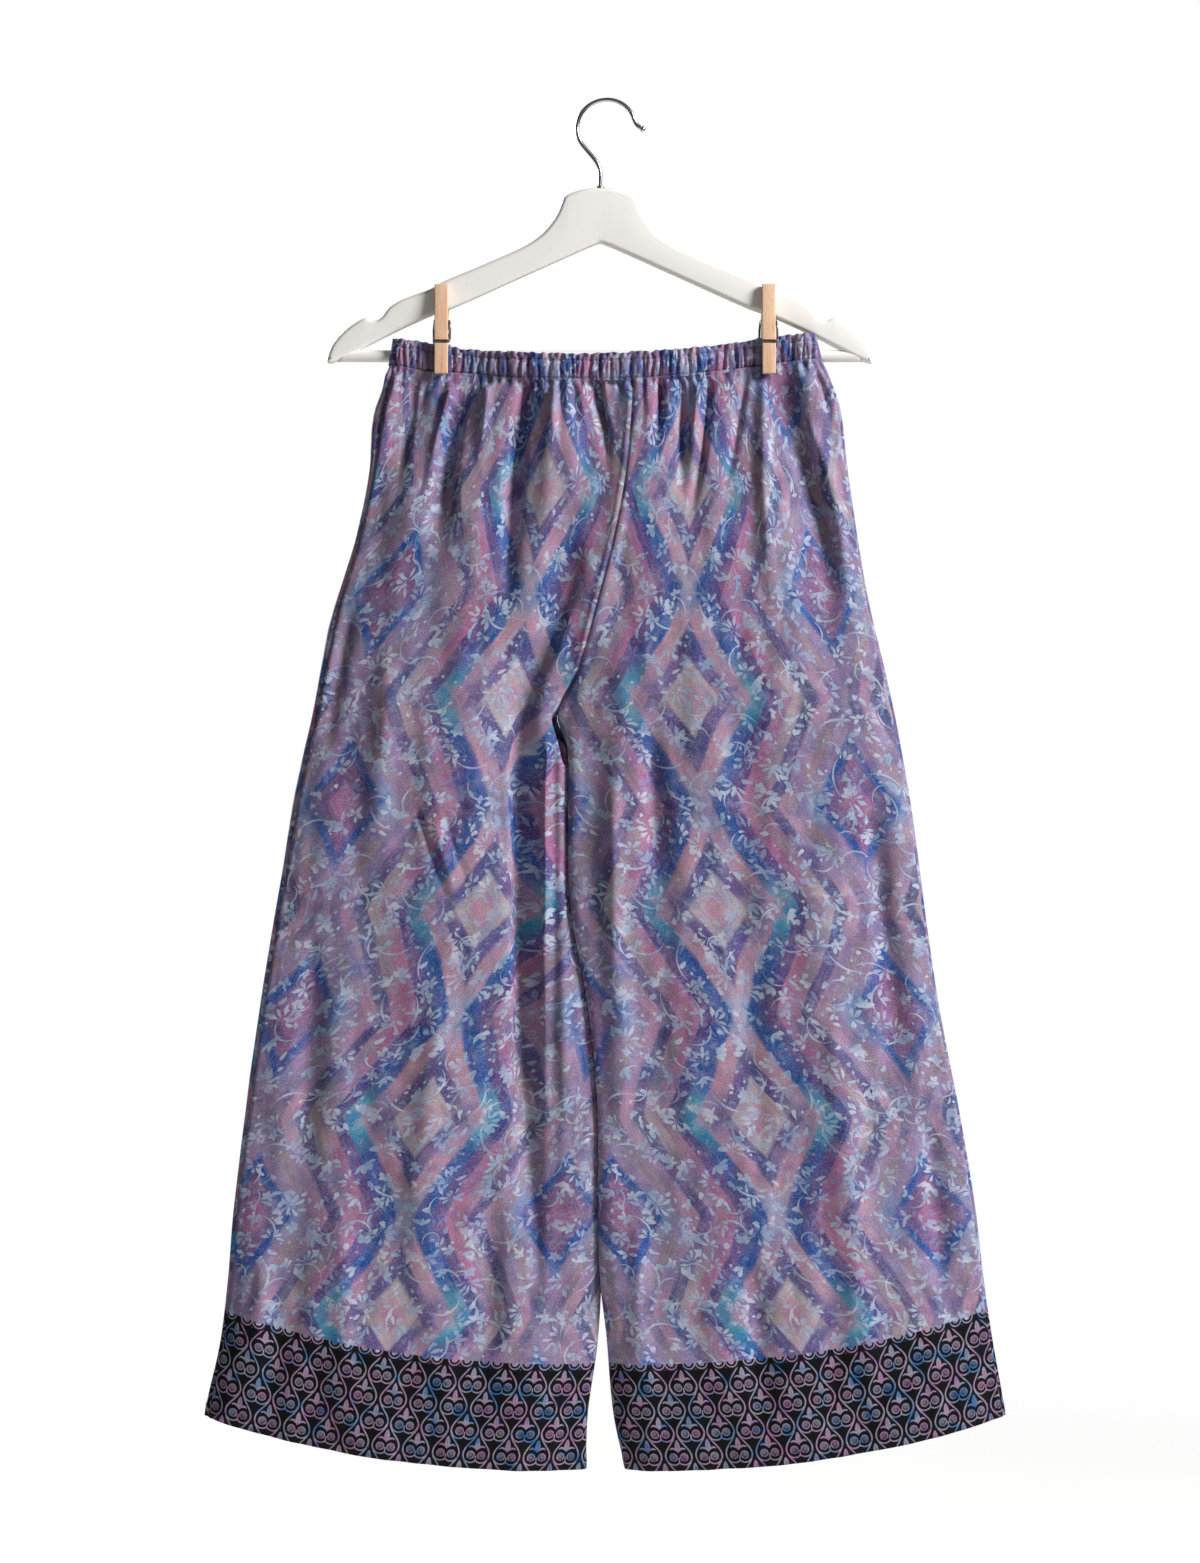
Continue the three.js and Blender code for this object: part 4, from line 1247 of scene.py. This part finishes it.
def parts_of(tree, socket):
    node = tree.nodes.new("ShaderNodeSeparateXYZ")
    tree.links.new(socket, node.inputs[0])
    return [Sig(tree, output) for output in node.outputs]


def noise(tree, where, scale, detail=2.0, rough=0.5, spread=0.0):
    node = tree.nodes.new("ShaderNodeTexNoise")
    node.noise_dimensions = "3D"
    tree.links.new(where, node.inputs["Vector"])
    node.inputs["Scale"].default_value = scale
    node.inputs["Detail"].default_value = detail
    node.inputs["Roughness"].default_value = rough
    node.inputs["Distortion"].default_value = spread
    return Sig(tree, node.outputs["Fac"])


def colour(hex_code):
    """Linear colour from six hexadecimal digits of a screen colour."""
    channels = [int(hex_code[i:i + 2], 16) / 255 for i in (0, 2, 4)]
    return [c / 12.92 if c <= 0.04045 else ((c + 0.055) / 1.055) ** 2.4 for c in channels] + [1.0]


def blend(tree, share, a, b):
    node = tree.nodes.new("ShaderNodeMix")
    node.data_type = "RGBA"
    plug(tree, share, node.inputs[0])
    for value, socket in ((a, node.inputs[6]), (b, node.inputs[7])):
        plug(tree, colour(value) if isinstance(value, str) else value, socket)
    return node.outputs[2]


def ramp(tree, place, stops):
    node = tree.nodes.new("ShaderNodeValToRGB")
    elements = node.color_ramp.elements
    while len(elements) < len(stops):
        elements.new(0.5)
    for element, (position, code) in zip(elements, stops):
        element.position = position
        element.color = colour(code)
    plug(tree, place, node.inputs[0])
    return node.outputs[0]


def new_material(name):
    material = bpy.data.materials.new(name)
    material.use_nodes = True
    tree = material.node_tree
    shader = next(node for node in tree.nodes if node.type == "BSDF_PRINCIPLED")
    return material, tree, shader


def object_place(tree):
    return tree.nodes.new("ShaderNodeTexCoord").outputs["Object"]


def surface(tree, shader, base, rough):
    plug(tree, base, shader.inputs["Base Color"])
    plug(tree, rough, shader.inputs["Roughness"])


def bump(tree, shader, height, distance, strength=1.0, after=None):
    node = tree.nodes.new("ShaderNodeBump")
    node.inputs["Strength"].default_value = strength
    node.inputs["Distance"].default_value = distance
    plug(tree, height, node.inputs["Height"])
    if after is not None:
        tree.links.new(after, node.inputs["Normal"])
    tree.links.new(node.outputs["Normal"], shader.inputs["Normal"])
    return node.outputs["Normal"]


# -------------------- the print

COLUMN_STEP = 121        # from a column of large diamonds to the next column of small ones
ZIGZAG = 41              # how far the bands swing

DYES = {
    "beige": "B6A8AA", "rose": "BA92A2", "pink": "AC7094", "lilac": "957FA0", "mauve": "645886",
    "violet": "604A88", "plum": "443C72", "slate": "424E74", "blue": "0F559C", "teal": "44A2B4",
    "navy": "1A4E8E", "mist": "8AA0BA", "maroon": "865A86", "brown": "95828E",
}

# Start and end of each band, across from the middle of a large diamond in millimetres, and its dye
# beside a large diamond, on the slopes, and where the large diamonds meet
BANDS = [
    (0, 10, "rose", "rose", "rose"),
    (12, 21, "beige", "beige", "beige"),
    (22.5, 32.5, "mauve", "violet", "slate"),
    (34.5, 46.5, "lilac", "rose", "mist"),
    (49, 60, "teal", "blue", "navy"),
    (62, 69.5, "plum", "violet", "plum"),
    (71, 79, "brown", "pink", "pink"),
    (81, 89, "beige", "brown", "pink"),
    (90.5, 99, "slate", "mauve", "plum"),
    (100.5, 109, "rose", "lilac", "rose"),
    (111, 118, "mauve", "brown", "lilac"),
    (119.5, 128, "lilac", "lilac", "mist"),
    (131.5, 135.5, "slate", "blue", "blue"),
    (139, 147, "mauve", "maroon", "mauve"),
    (151, 165, "pink", "maroon", "pink"),
]
BESIDE, SLOPE, MEETING = 2, 3, 4


# Soft patches and specks over the bands: seed, size, the noise's roughness, the step's edge and
# softness, strength and dye
PATCHES = [
    (11, 21, 0.6, 0.60, 0.30, 0.30, "B07A9E"),
    (53, 27, 0.6, 0.62, 0.22, 0.42, "2F62A2"),
    (83, 16, 0.6, 0.60, 0.28, 0.32, "9A9292"),
    (7, 1.3, 0.55, 0.60, 0.12, 0.32, "A5AFC0"),
    (23, 1.2, 0.55, 0.62, 0.12, 0.22, "AD8FA6"),
    (67, 1.1, 0.6, 0.58, 0.16, 0.30, "3B3A5C"),
]

# Flowers, buds and stems, each scattered on its own: spacing, seed, then the values that daisy, buds
# and stems name
FAINT_DAISIES = [(29.0, 31.3, 8.0, 1.6, 11.0, 1.9, 0.62, 0.8)]
FAINT_BUDS = [(11.5, 12.1, 2.6, 1.1, 0.55)]
DAISIES = [
    (35.0, 3.7, 10.0, 2.6, 12.0, 1.75, 0.52, 0.74),
    (27.0, 17.9, 6.0, 0.9, 8.6, 2.1, 0.58, 0.62),
    (24.0, 41.2, 5.0, 0.2, 5.6, 2.2, 0.85, 0.42),
    (31.0, 57.6, 8.0, 0.0, 9.5, 2.4, 0.28, 0.75),
]
BUDS = [(14.0, 5.3, 3.3, 1.35, 0.5), (9.5, 23.7, 1.4, 0.95, 0.34)]
STEMS = [(36.0, 9.1, 15.0, 15.0, 0.78, 0.75), (29.0, 27.4, 9.0, 10.0, 0.62, 0.5)]


def cells(tree, x, y, size, seed, jitter=0.8):
    """Scattered points: offsets from the nearest one, and three random numbers for it."""
    node = tree.nodes.new("ShaderNodeTexVoronoi")
    node.voronoi_dimensions = "2D"
    node.inputs["Randomness"].default_value = jitter
    node.inputs["Scale"].default_value = 1.0
    px, py = x / size + seed, y / size - seed * 1.7
    tree.links.new(vector(tree, px, py), node.inputs["Vector"])
    cx, cy, _ = parts_of(tree, node.outputs["Position"])
    chance = tree.nodes.new("ShaderNodeSeparateColor")
    tree.links.new(node.outputs["Color"], chance.inputs[0])
    return (px - cx) * size, (py - cy) * size, [Sig(tree, output) for output in chance.outputs]


def turned(x, y, turns):
    angle = turns * (2 * math.pi)
    cos, sin = calc(x.tree, "COSINE", angle), sine(angle)
    return x * cos + y * sin, y * cos - x * sin


def daisy(tree, x, y, size, seed, petals, inner, outer, width, arc, share):
    """Fans of drop-shaped petals of uneven length round scattered points, as brush strokes."""
    dx, dy, (a, b, c) = cells(tree, x, y, size, seed)
    dx, dy = turned(dx, dy, a)
    distance = length_of(dx, dy)
    turn = calc(tree, "ARCTAN2", dy, dx) / (2 * math.pi) + 0.5
    count = turn * petals
    which = calc(tree, "FLOOR", count)
    off = (calc(tree, "FRACT", count) - 0.5) * (2 * math.pi / petals)
    change = calc(tree, "FRACT", sine(which * 12.9 + b * 78.2) * 43.7)
    reach = (outer - inner) * (0.55 + change * 0.55)
    along = (distance - inner * (0.5 + change)) / reach
    drop = most(along * (1.0 - along), 0.0) * (1.5 + along * 2.6) * width
    lateral = size_of(off + (change - 0.5) * 0.22) * distance
    petal = above(drop - lateral, 0.0, 0.34)
    there = below(turn, arc + b * 0.25, 0.01) * below(c, share, 0.01)
    return petal * there * above(change, 0.14, 0.01)


def buds(tree, x, y, size, seed, long, wide, share):
    dx, dy, (a, b, c) = cells(tree, x, y, size, seed, 0.9)
    dx, dy = turned(dx, dy, a)
    lean = dx / (long * (0.6 + b * 0.6))
    flat = (dy + lean * lean * (b - 0.5) * 1.4) / (wide * (1.15 - lean * 0.45))
    return below(length_of(lean, flat), 1.0, 0.28) * below(c, share, 0.01)


def stems(tree, x, y, size, seed, bend, reach, thick, share):
    dx, dy, (a, b, c) = cells(tree, x, y, size, seed, 0.6)
    dx, dy = turned(dx, dy, a)
    radius = bend * (0.7 + b * 0.9)
    off = size_of(length_of(dx - radius, dy) - radius)
    distance = length_of(dx, dy)
    line = thick * (1.15 - distance / reach)
    return above(line - off, 0.0, 0.35) * below(distance, reach, 0.6) * below(c, share, 0.01)


def scatter(tree, loose, plain, daisy_rows, bud_rows, stem_rows):
    """All the marks of one layer; flowers and buds lie on the loosened coordinates."""
    marks = [daisy(tree, *loose, *row) for row in daisy_rows]
    marks += [buds(tree, *loose, *row) for row in bud_rows]
    marks += [stems(tree, *plain, *row) for row in stem_rows]
    return reduce(most, marks)


def main_print(tree, u, v):
    """Nested diamonds in bands of watercolour, with a scatter of light flowers over them."""
    where = vector(tree, u, v)
    slow = noise(tree, where, 1 / 46, 1.0)
    swing = noise(tree, where, 1 / 9, 2.0, 0.6)
    fibre = noise(tree, vector(tree, u, v * 0.45), 1.1, 1.0)
    bu = u + (slow - 0.5) * 7 + (swing - 0.5) * 2.2
    slow_v = noise(tree, vector(tree, v, u, 37.0), 1 / 52, 1.0)
    bv = v + (slow_v - 0.5) * 9 + (swing - 0.5) * 2.8
    phase = calc(tree, "FRACT", bv / REPEAT + 200.0)
    sway = 1.0 - size_of(1.0 - phase * 2.0)
    near = calc(tree, "PINGPONG", bu, float(COLUMN_STEP))
    side = near / COLUMN_STEP

    def swing_of(part):
        """Sharp corners by the large diamonds, and by the small ones in the next column."""
        sharp_first = part * (1.55 - part * 0.55)
        sharp_last = part * (0.45 + part * 0.55)
        return (sharp_first + (sharp_last - sharp_first) * side) * ZIGZAG

    band = near + swing_of(sway) + (fibre - 0.5) * 2.6
    last = BANDS[-1][1]

    def dyed(place, column):
        edges = [(edge / last, DYES[row[column]]) for row in BANDS for edge in row[:2]]
        return ramp(tree, place / last, edges)

    first = calc(tree, "MULTIPLY_ADD", sway, 3.6, -0.35, clamp=True)
    second = calc(tree, "MULTIPLY_ADD", sway, 3.6, -2.45, clamp=True)
    base = blend(tree, first, dyed(band, BESIDE), dyed(band, SLOPE))
    base = blend(tree, second, base, dyed(band, MEETING))

    # The bands run on a little past each turn and darken one another there
    past = sway + above(sway, 0.5, 0.01) * (2.0 - sway * 2.0) - below(sway, 0.5, 0.01) * (sway * 2.0)
    crossing = dyed(near + swing_of(past) + (fibre - 0.5) * 2.6, SLOPE)
    at_turn = below(least(sway, 1.0 - sway), 0.11, 0.05)
    base = blend(tree, at_turn * 0.45, base, crossing)
    tip = below(near, 8.0, 5.0) * above(band, 21.0, 3.0) * below(band, 34.0, 4.0)
    base = blend(tree, tip * 0.75, base, "4C5580")

    streak = noise(tree, vector(tree, band * 0.30, v * 0.022, 61.0), 1.0, 2.0, 0.6)
    base = blend(tree, above(streak, 0.58, 0.20) * 0.28, base, "5F74A0")
    base = blend(tree, below(streak, 0.42, 0.20) * 0.22, base, "B8A4B0")

    for seed, size, rough, edge, soft, strength, dye in PATCHES:
        patch = noise(tree, vector(tree, u, v, float(seed)), 1 / size, 2.0, rough)
        base = blend(tree, above(patch, edge, soft) * strength, base, dye)
    shade = noise(tree, vector(tree, u, v, 71.0), 1 / 19, 2.0, 0.6)
    deep = tree.nodes.new("ShaderNodeGamma")
    tree.links.new(base, deep.inputs[0])
    plug(tree, 0.98 + above(shade, 0.5, 0.5) * 0.34, deep.inputs[1])
    base = deep.outputs[0]

    loose = noise(tree, vector(tree, u, v, 47.0), 1 / 6.5, 1.0)
    wide = noise(tree, vector(tree, v, u, 57.0), 1 / 15, 1.0)
    su = u + (loose - 0.5) * 3.2 + (wide - 0.5) * 5.0
    sv = v - (loose - 0.5) * 2.6 + (wide - 0.5) * 4.0
    faint = scatter(tree, (su, sv), (u, v), FAINT_DAISIES, FAINT_BUDS, [])
    light = scatter(tree, (su, sv), (u, v), DAISIES, BUDS, STEMS)
    wash = noise(tree, vector(tree, u, v, 91.0), 1 / 12, 1.0)
    base = blend(tree, faint * (0.10 + wash * 0.50), base, "8496BC")
    ink = ramp(tree, wash, [(0.35, "8CA2BE"), (0.5, "9BAAC0"), (0.62, "B2BACA")])
    return blend(tree, light * (0.46 + wash * 0.55), base, ink), light


OGEE_WIDTH = 23.9        # of a cell of the border's lattice
OGEE_HALF = 18.2         # half its height
BORDER_HEIGHT = 84.0
BORDER_SHIFT = 7.0       # of the lattice, up from the hem
SCROLL_X, SCROLL_DROP = 4.2, 0.6         # middle of a cell's two scrolls, aside and down
PALMETTE_Y = 8.6
WARP_STEP, WEFT_STEP = 0.62, 0.58        # of the weave


def border_print(tree, u, h):
    """Ogee lattice with a trefoil and two scrolls in each cell."""
    px = u + (noise(tree, vector(tree, u, h, 5.0), 1 / 14, 1.0) - 0.5) * 0.9
    py = h + BORDER_SHIFT

    def cell_of(shift_x, shift_y):
        cx = calc(tree, "WRAP", px + shift_x, OGEE_WIDTH / 2, -OGEE_WIDTH / 2)
        cy = calc(tree, "WRAP", py + shift_y, OGEE_HALF, -OGEE_HALF)
        return cx, cy

    ax, ay = cell_of(0.0, 0.0)
    bx, by = cell_of(OGEE_WIDTH / 2, OGEE_HALF)
    spread = calc(tree, "COSINE", ay * (math.pi / OGEE_HALF))
    edge = 0.26 * OGEE_WIDTH + spread * (0.19 * OGEE_WIDTH)
    off = size_of(ax) - edge
    steep = root(1.0 + 0.58 * (1.0 - spread * spread))
    lattice = below(size_of(off) / steep, 0.55, 0.4)
    inside = below(off, 0.0, 0.01)
    x = size_of(bx + (ax - bx) * inside)
    y = by + (ay - by) * inside

    sx, sy = x - SCROLL_X, y + SCROLL_DROP
    ring = length_of(sx, sy)
    rim = below(size_of(ring - 2.8), 0.42, 0.4)
    disc = below(ring, 3.2, 0.4)
    curl = above(length_of(sx - 0.5, sy - 0.4), 1.7, 0.5) * below(sy + sx * 0.4, 0.2, 0.8)
    arc = below(size_of(ring - 5.9), 0.5, 0.4) * below(sy - sx * 0.3, -2.2, 0.6)
    tie = below(x, 0.5, 0.4) * below(size_of(y + 3.0), 2.0, 0.5)
    middle = below(length_of(x / (2.0 - (y - PALMETTE_Y) * 0.16), (y - PALMETTE_Y) / 4.3), 1.0, 0.2)
    leaf_y = y - 6.3 + (x - SCROLL_X) * (x - SCROLL_X) * 0.17
    leaf = below(size_of(leaf_y), 0.85 - size_of(x - 3.0) * 0.13, 0.3) * below(x, 6.3, 0.4)
    vein = below(x, 0.2, 0.3) * below(size_of(y - 8.4), 2.4, 0.6)
    disc = most(most(disc * (0.50 - curl * 0.30), rim * 0.92), arc) * below(h, BORDER_HEIGHT - 10.0, 0.5)
    motif = most(disc, most(most(middle, leaf), tie))
    motif = motif * (1.0 - vein * 0.45)
    lines = most(lattice, motif)

    tone = noise(tree, vector(tree, u, h, 2.0), 1 / 17, 1.0, 0.5)
    ink = ramp(tree, tone, [(0.28, "3A72AC"), (0.38, "6F86AC"), (0.46, "9C98AC"), (0.54, "A48CA8"),
                            (0.61, "AC7FA0"), (0.70, "8478A8"), (0.80, "4078B0")])
    worn = noise(tree, vector(tree, u, h, 19.0), 1 / 2.2, 2.0, 0.6)
    ground = blend(tree, above(worn, 0.5, 0.4) * 0.35, "050409", "0E0C13")
    return blend(tree, lines * (0.52 + worn * 0.46), ground, ink), ink


def print_material(name):
    material, tree, shader = new_material(name)
    print_map = tree.nodes.new("ShaderNodeUVMap")
    print_map.uv_map = "Print"
    hem_map = tree.nodes.new("ShaderNodeUVMap")
    hem_map.uv_map = "Hem"
    u, v, _ = (part * 1000.0 for part in parts_of(tree, print_map.outputs[0]))
    hem_u, hem_h, _ = (part * 1000.0 for part in parts_of(tree, hem_map.outputs[0]))
    main, light = main_print(tree, u, v)
    border, ink = border_print(tree, hem_u, hem_h)

    scallop_x = calc(tree, "WRAP", hem_u, OGEE_WIDTH / 2, -OGEE_WIDTH / 2)
    cup = length_of(size_of(size_of(scallop_x) - OGEE_WIDTH / 2) - 4.9, hem_h - BORDER_HEIGHT)
    cup_line = above(cup, 4.0, 0.4) * below(cup, 5.0, 0.4)
    in_cup = below(cup, 2.4, 0.4)
    dark_cup = below(cup, 6.6, 0.4)
    under = below(hem_h, BORDER_HEIGHT, 0.5)
    border = blend(tree, dark_cup, border, "0E0D13")
    border = blend(tree, cup_line * 0.8, border, ink)
    base = blend(tree, under * (1.0 - in_cup), main, border)

    weave = sine(u * (2 * math.pi / WARP_STEP)) * sine(v * (2 * math.pi / WEFT_STEP))
    slub = noise(tree, vector(tree, u * 0.12, v * 2.2, 3.0), 1.0, 1.0, 0.6)
    slub_up = noise(tree, vector(tree, u * 2.0, v * 0.10, 9.0), 1.0, 1.0, 0.6)
    grain = noise(tree, vector(tree, u, v, 29.0), 1 / 1.0, 1.0, 0.5)
    tint = calc(tree, "MULTIPLY_ADD", grain - 0.5, 1.0, 1.0)
    tint = tint + (slub - 0.5) * 0.22 + (slub_up - 0.5) * 0.22
    toned = tree.nodes.new("ShaderNodeVectorMath")
    toned.operation = "SCALE"
    plug(tree, base, toned.inputs[0])
    plug(tree, tint, toned.inputs["Scale"])
    surface(tree, shader, toned.outputs[0], 0.60 + (grain - 0.5) * 0.16 - light * 0.04)
    shader.inputs["Sheen Weight"].default_value = 0.03
    shader.inputs["Sheen Roughness"].default_value = 0.45
    shader.inputs["Specular IOR Level"].default_value = 0.12
    fine = bump(tree, shader, weave * 0.5 + slub * 0.7 + slub_up * 0.5, 0.00009, 0.6)
    crumple = noise(tree, vector(tree, u, v * 0.7, 41.0), 1 / 7.5, 2.0, 0.55)
    bump(tree, shader, crumple, 0.0007, 0.45, fine)
    return material


def thread_material(name, first, second):
    material, tree, shader = new_material(name)
    place = object_place(tree)
    twist = noise(tree, place, 900.0, 2.0)
    surface(tree, shader, blend(tree, twist, first, second), 0.6)
    bump(tree, shader, twist, 0.0001, 0.5)
    return material


def paint_material():
    """White satin paint over wood, with a trace of the grain and of the brush."""
    material, tree, shader = new_material("white_paint")
    place = object_place(tree)
    x, y, z = parts_of(tree, place)
    grain = noise(tree, vector(tree, x * 18.0 + z * 9.0, y * 160.0, z * 150.0), 1.0, 4.0, 0.6)
    cloud = noise(tree, place, 22.0, 3.0)
    edge = noise(tree, place, 240.0, 3.0, 0.6)
    base = blend(tree, above(cloud, 0.5, 0.6) * 0.6, "F8F5F0", "F0ECE6")
    base = blend(tree, above(edge, 0.70, 0.12) * 0.30, base, "CFC8BE")
    surface(tree, shader, base, 0.34 + cloud * 0.12)
    shader.inputs["Coat Weight"].default_value = 0.25
    shader.inputs["Coat Roughness"].default_value = 0.22
    fine = bump(tree, shader, grain, 0.00012, 0.35)
    bump(tree, shader, edge, 0.00008, 0.3, fine)
    return material


def steel_material(name, tone, roughness):
    material, tree, shader = new_material(name)
    place = object_place(tree)
    x, y, z = parts_of(tree, place)
    drawn = noise(tree, vector(tree, x * 60.0, y * 900.0, z * 60.0), 1.0, 3.0, 0.6)
    stain = noise(tree, place, 130.0, 3.0, 0.6)
    base = blend(tree, above(stain, 0.55, 0.4) * 0.5, tone, "8C8A88")
    surface(tree, shader, base, roughness + drawn * 0.10)
    shader.inputs["Metallic"].default_value = 1.0
    bump(tree, shader, drawn, 0.00003, 0.4)
    return material


def beech_material():
    """Pale honey beech: upright grain and short darker flecks."""
    material, tree, shader = new_material("pale_wood")
    place = object_place(tree)
    x, y, z = parts_of(tree, place)
    sway = noise(tree, vector(tree, x * 60.0, y * 60.0, z * 14.0), 1.0, 2.0)
    lines = noise(tree, vector(tree, (x + sway * 0.004) * 520.0, y * 420.0, z * 16.0), 1.0, 3.0, 0.6)
    broad = noise(tree, vector(tree, x * 130.0, y * 130.0, z * 9.0), 1.0, 2.0)
    fleck = noise(tree, vector(tree, x * 1500.0, y * 1500.0, z * 190.0), 1.0, 2.0)
    base = ramp(tree, broad * 0.5 + lines * 0.5,
                [(0.30, "CB9A72"), (0.45, "DFB491"), (0.58, "E9C3A4"), (0.72, "D7A580")])
    base = blend(tree, above(fleck, 0.62, 0.12) * 0.35, base, "B07F52")
    surface(tree, shader, base, 0.52 + lines * 0.2)
    fine = bump(tree, shader, lines, 0.00016, 0.5)
    bump(tree, shader, fleck, 0.00008, 0.4, fine)
    return material


# -------------------- stage and light

FLOOR_Z = -1.35
FLOOR_CLEAR, FLOOR_EDGE = 0.7, 2.1       # radii between which the floor fades out
LIGHT_AIM = Vector((0, 0, -0.5))


def floor_piece():
    """A round pale floor that fades out into the white before its edge."""
    mesh = bpy.data.meshes.new("floor")
    form = bmesh.new()
    bmesh.ops.create_circle(form, cap_ends=True, segments=96, radius=FLOOR_EDGE + 0.2)
    bmesh.ops.translate(form, verts=form.verts, vec=(0, 0, FLOOR_Z))
    form.to_mesh(mesh)
    form.free()
    material, tree, shader = new_material("floor")
    place = object_place(tree)
    x, y, _ = parts_of(tree, place)
    cloud = noise(tree, place, 3.0, 3.0)
    grain = noise(tree, place, 220.0, 2.0)
    surface(tree, shader, blend(tree, cloud * 0.5, "FDFCFB", "F6F5F3"), 0.8)
    shader.inputs["Emission Color"].default_value = (1, 1, 1, 1)
    shader.inputs["Emission Strength"].default_value = 0.10
    bump(tree, shader, grain, 0.0002, 0.3)
    fade = below(length_of(x, y), (FLOOR_CLEAR + FLOOR_EDGE) / 2, FLOOR_EDGE - FLOOR_CLEAR)
    plug(tree, fade, shader.inputs["Alpha"])
    mesh.materials.append(material)
    floor = bpy.data.objects.new("floor", mesh)
    bpy.context.collection.objects.link(floor)


def white_room(strength):
    """A world that is white to the camera and lights the pants faintly."""
    world = bpy.data.worlds.new("white")
    bpy.context.scene.world = world
    world.use_nodes = True
    tree = world.node_tree
    tree.nodes.clear()
    paths = tree.nodes.new("ShaderNodeLightPath")
    seen = tree.nodes.new("ShaderNodeBackground")
    lit = tree.nodes.new("ShaderNodeBackground")
    both = tree.nodes.new("ShaderNodeMixShader")
    end = tree.nodes.new("ShaderNodeOutputWorld")
    seen.inputs["Color"].default_value = (1, 1, 1, 1)
    lit.inputs["Color"].default_value = (0.98, 0.99, 1.0, 1)
    lit.inputs["Strength"].default_value = strength
    tree.links.new(paths.outputs["Is Camera Ray"], both.inputs[0])
    tree.links.new(lit.outputs[0], both.inputs[1])
    tree.links.new(seen.outputs[0], both.inputs[2])
    tree.links.new(both.outputs[0], end.inputs["Surface"])


def soft_light(name, place, size, power):
    """A round area light that faces the middle of the pants."""
    data = bpy.data.lights.new(name, "AREA")
    data.shape = "DISK"
    data.size = size
    data.energy = power
    light = bpy.data.objects.new(name, data)
    light.location = place
    light.rotation_euler = (LIGHT_AIM - Vector(place)).to_track_quat("-Z", "Y").to_euler()
    bpy.context.collection.objects.link(light)


floor_piece()
white_room(0.10)
soft_light("key", (2.7, -1.5, 1.2), 1.4, 190)
soft_light("rim", (-1.8, 2.0, 0.6), 1.6, 60)
bpy.context.scene.view_settings.view_transform = "Standard"
bpy.context.scene.view_settings.look = "None"


# -------------------- the whole object

cloth = print_material("print_cloth")
thread = thread_material("thread", "6E6488", "A39DB6")
dark_thread = thread_material("dark_thread", "15151B", "2A2834")
white = paint_material()
steel = steel_material("bright_steel", "D6D5D2", 0.16)
spring_steel = steel_material("spring_steel", "6F6A62", 0.34)
beech = beech_material()

hanger_body(white)
hanger_bar(white)
hanger_hook(steel)
for side_name in ("left", "right"):
    pin_leg(side_name, "front", beech)
    pin_leg(side_name, "back", beech)
    pin_spring(side_name, spring_steel)


for face in ("front", "back"):
    casing, casing_cloth = casing_piece(face, cloth)
    casing_stitches = casing_thread(face, casing_cloth, thread)
    for side in (-1, 1):
        panel, panel_cloth = panel_piece(side, face, cloth)
        hem_stitches = hem_thread(panel.name.replace("cloth", "thread"), panel_cloth, dark_thread)
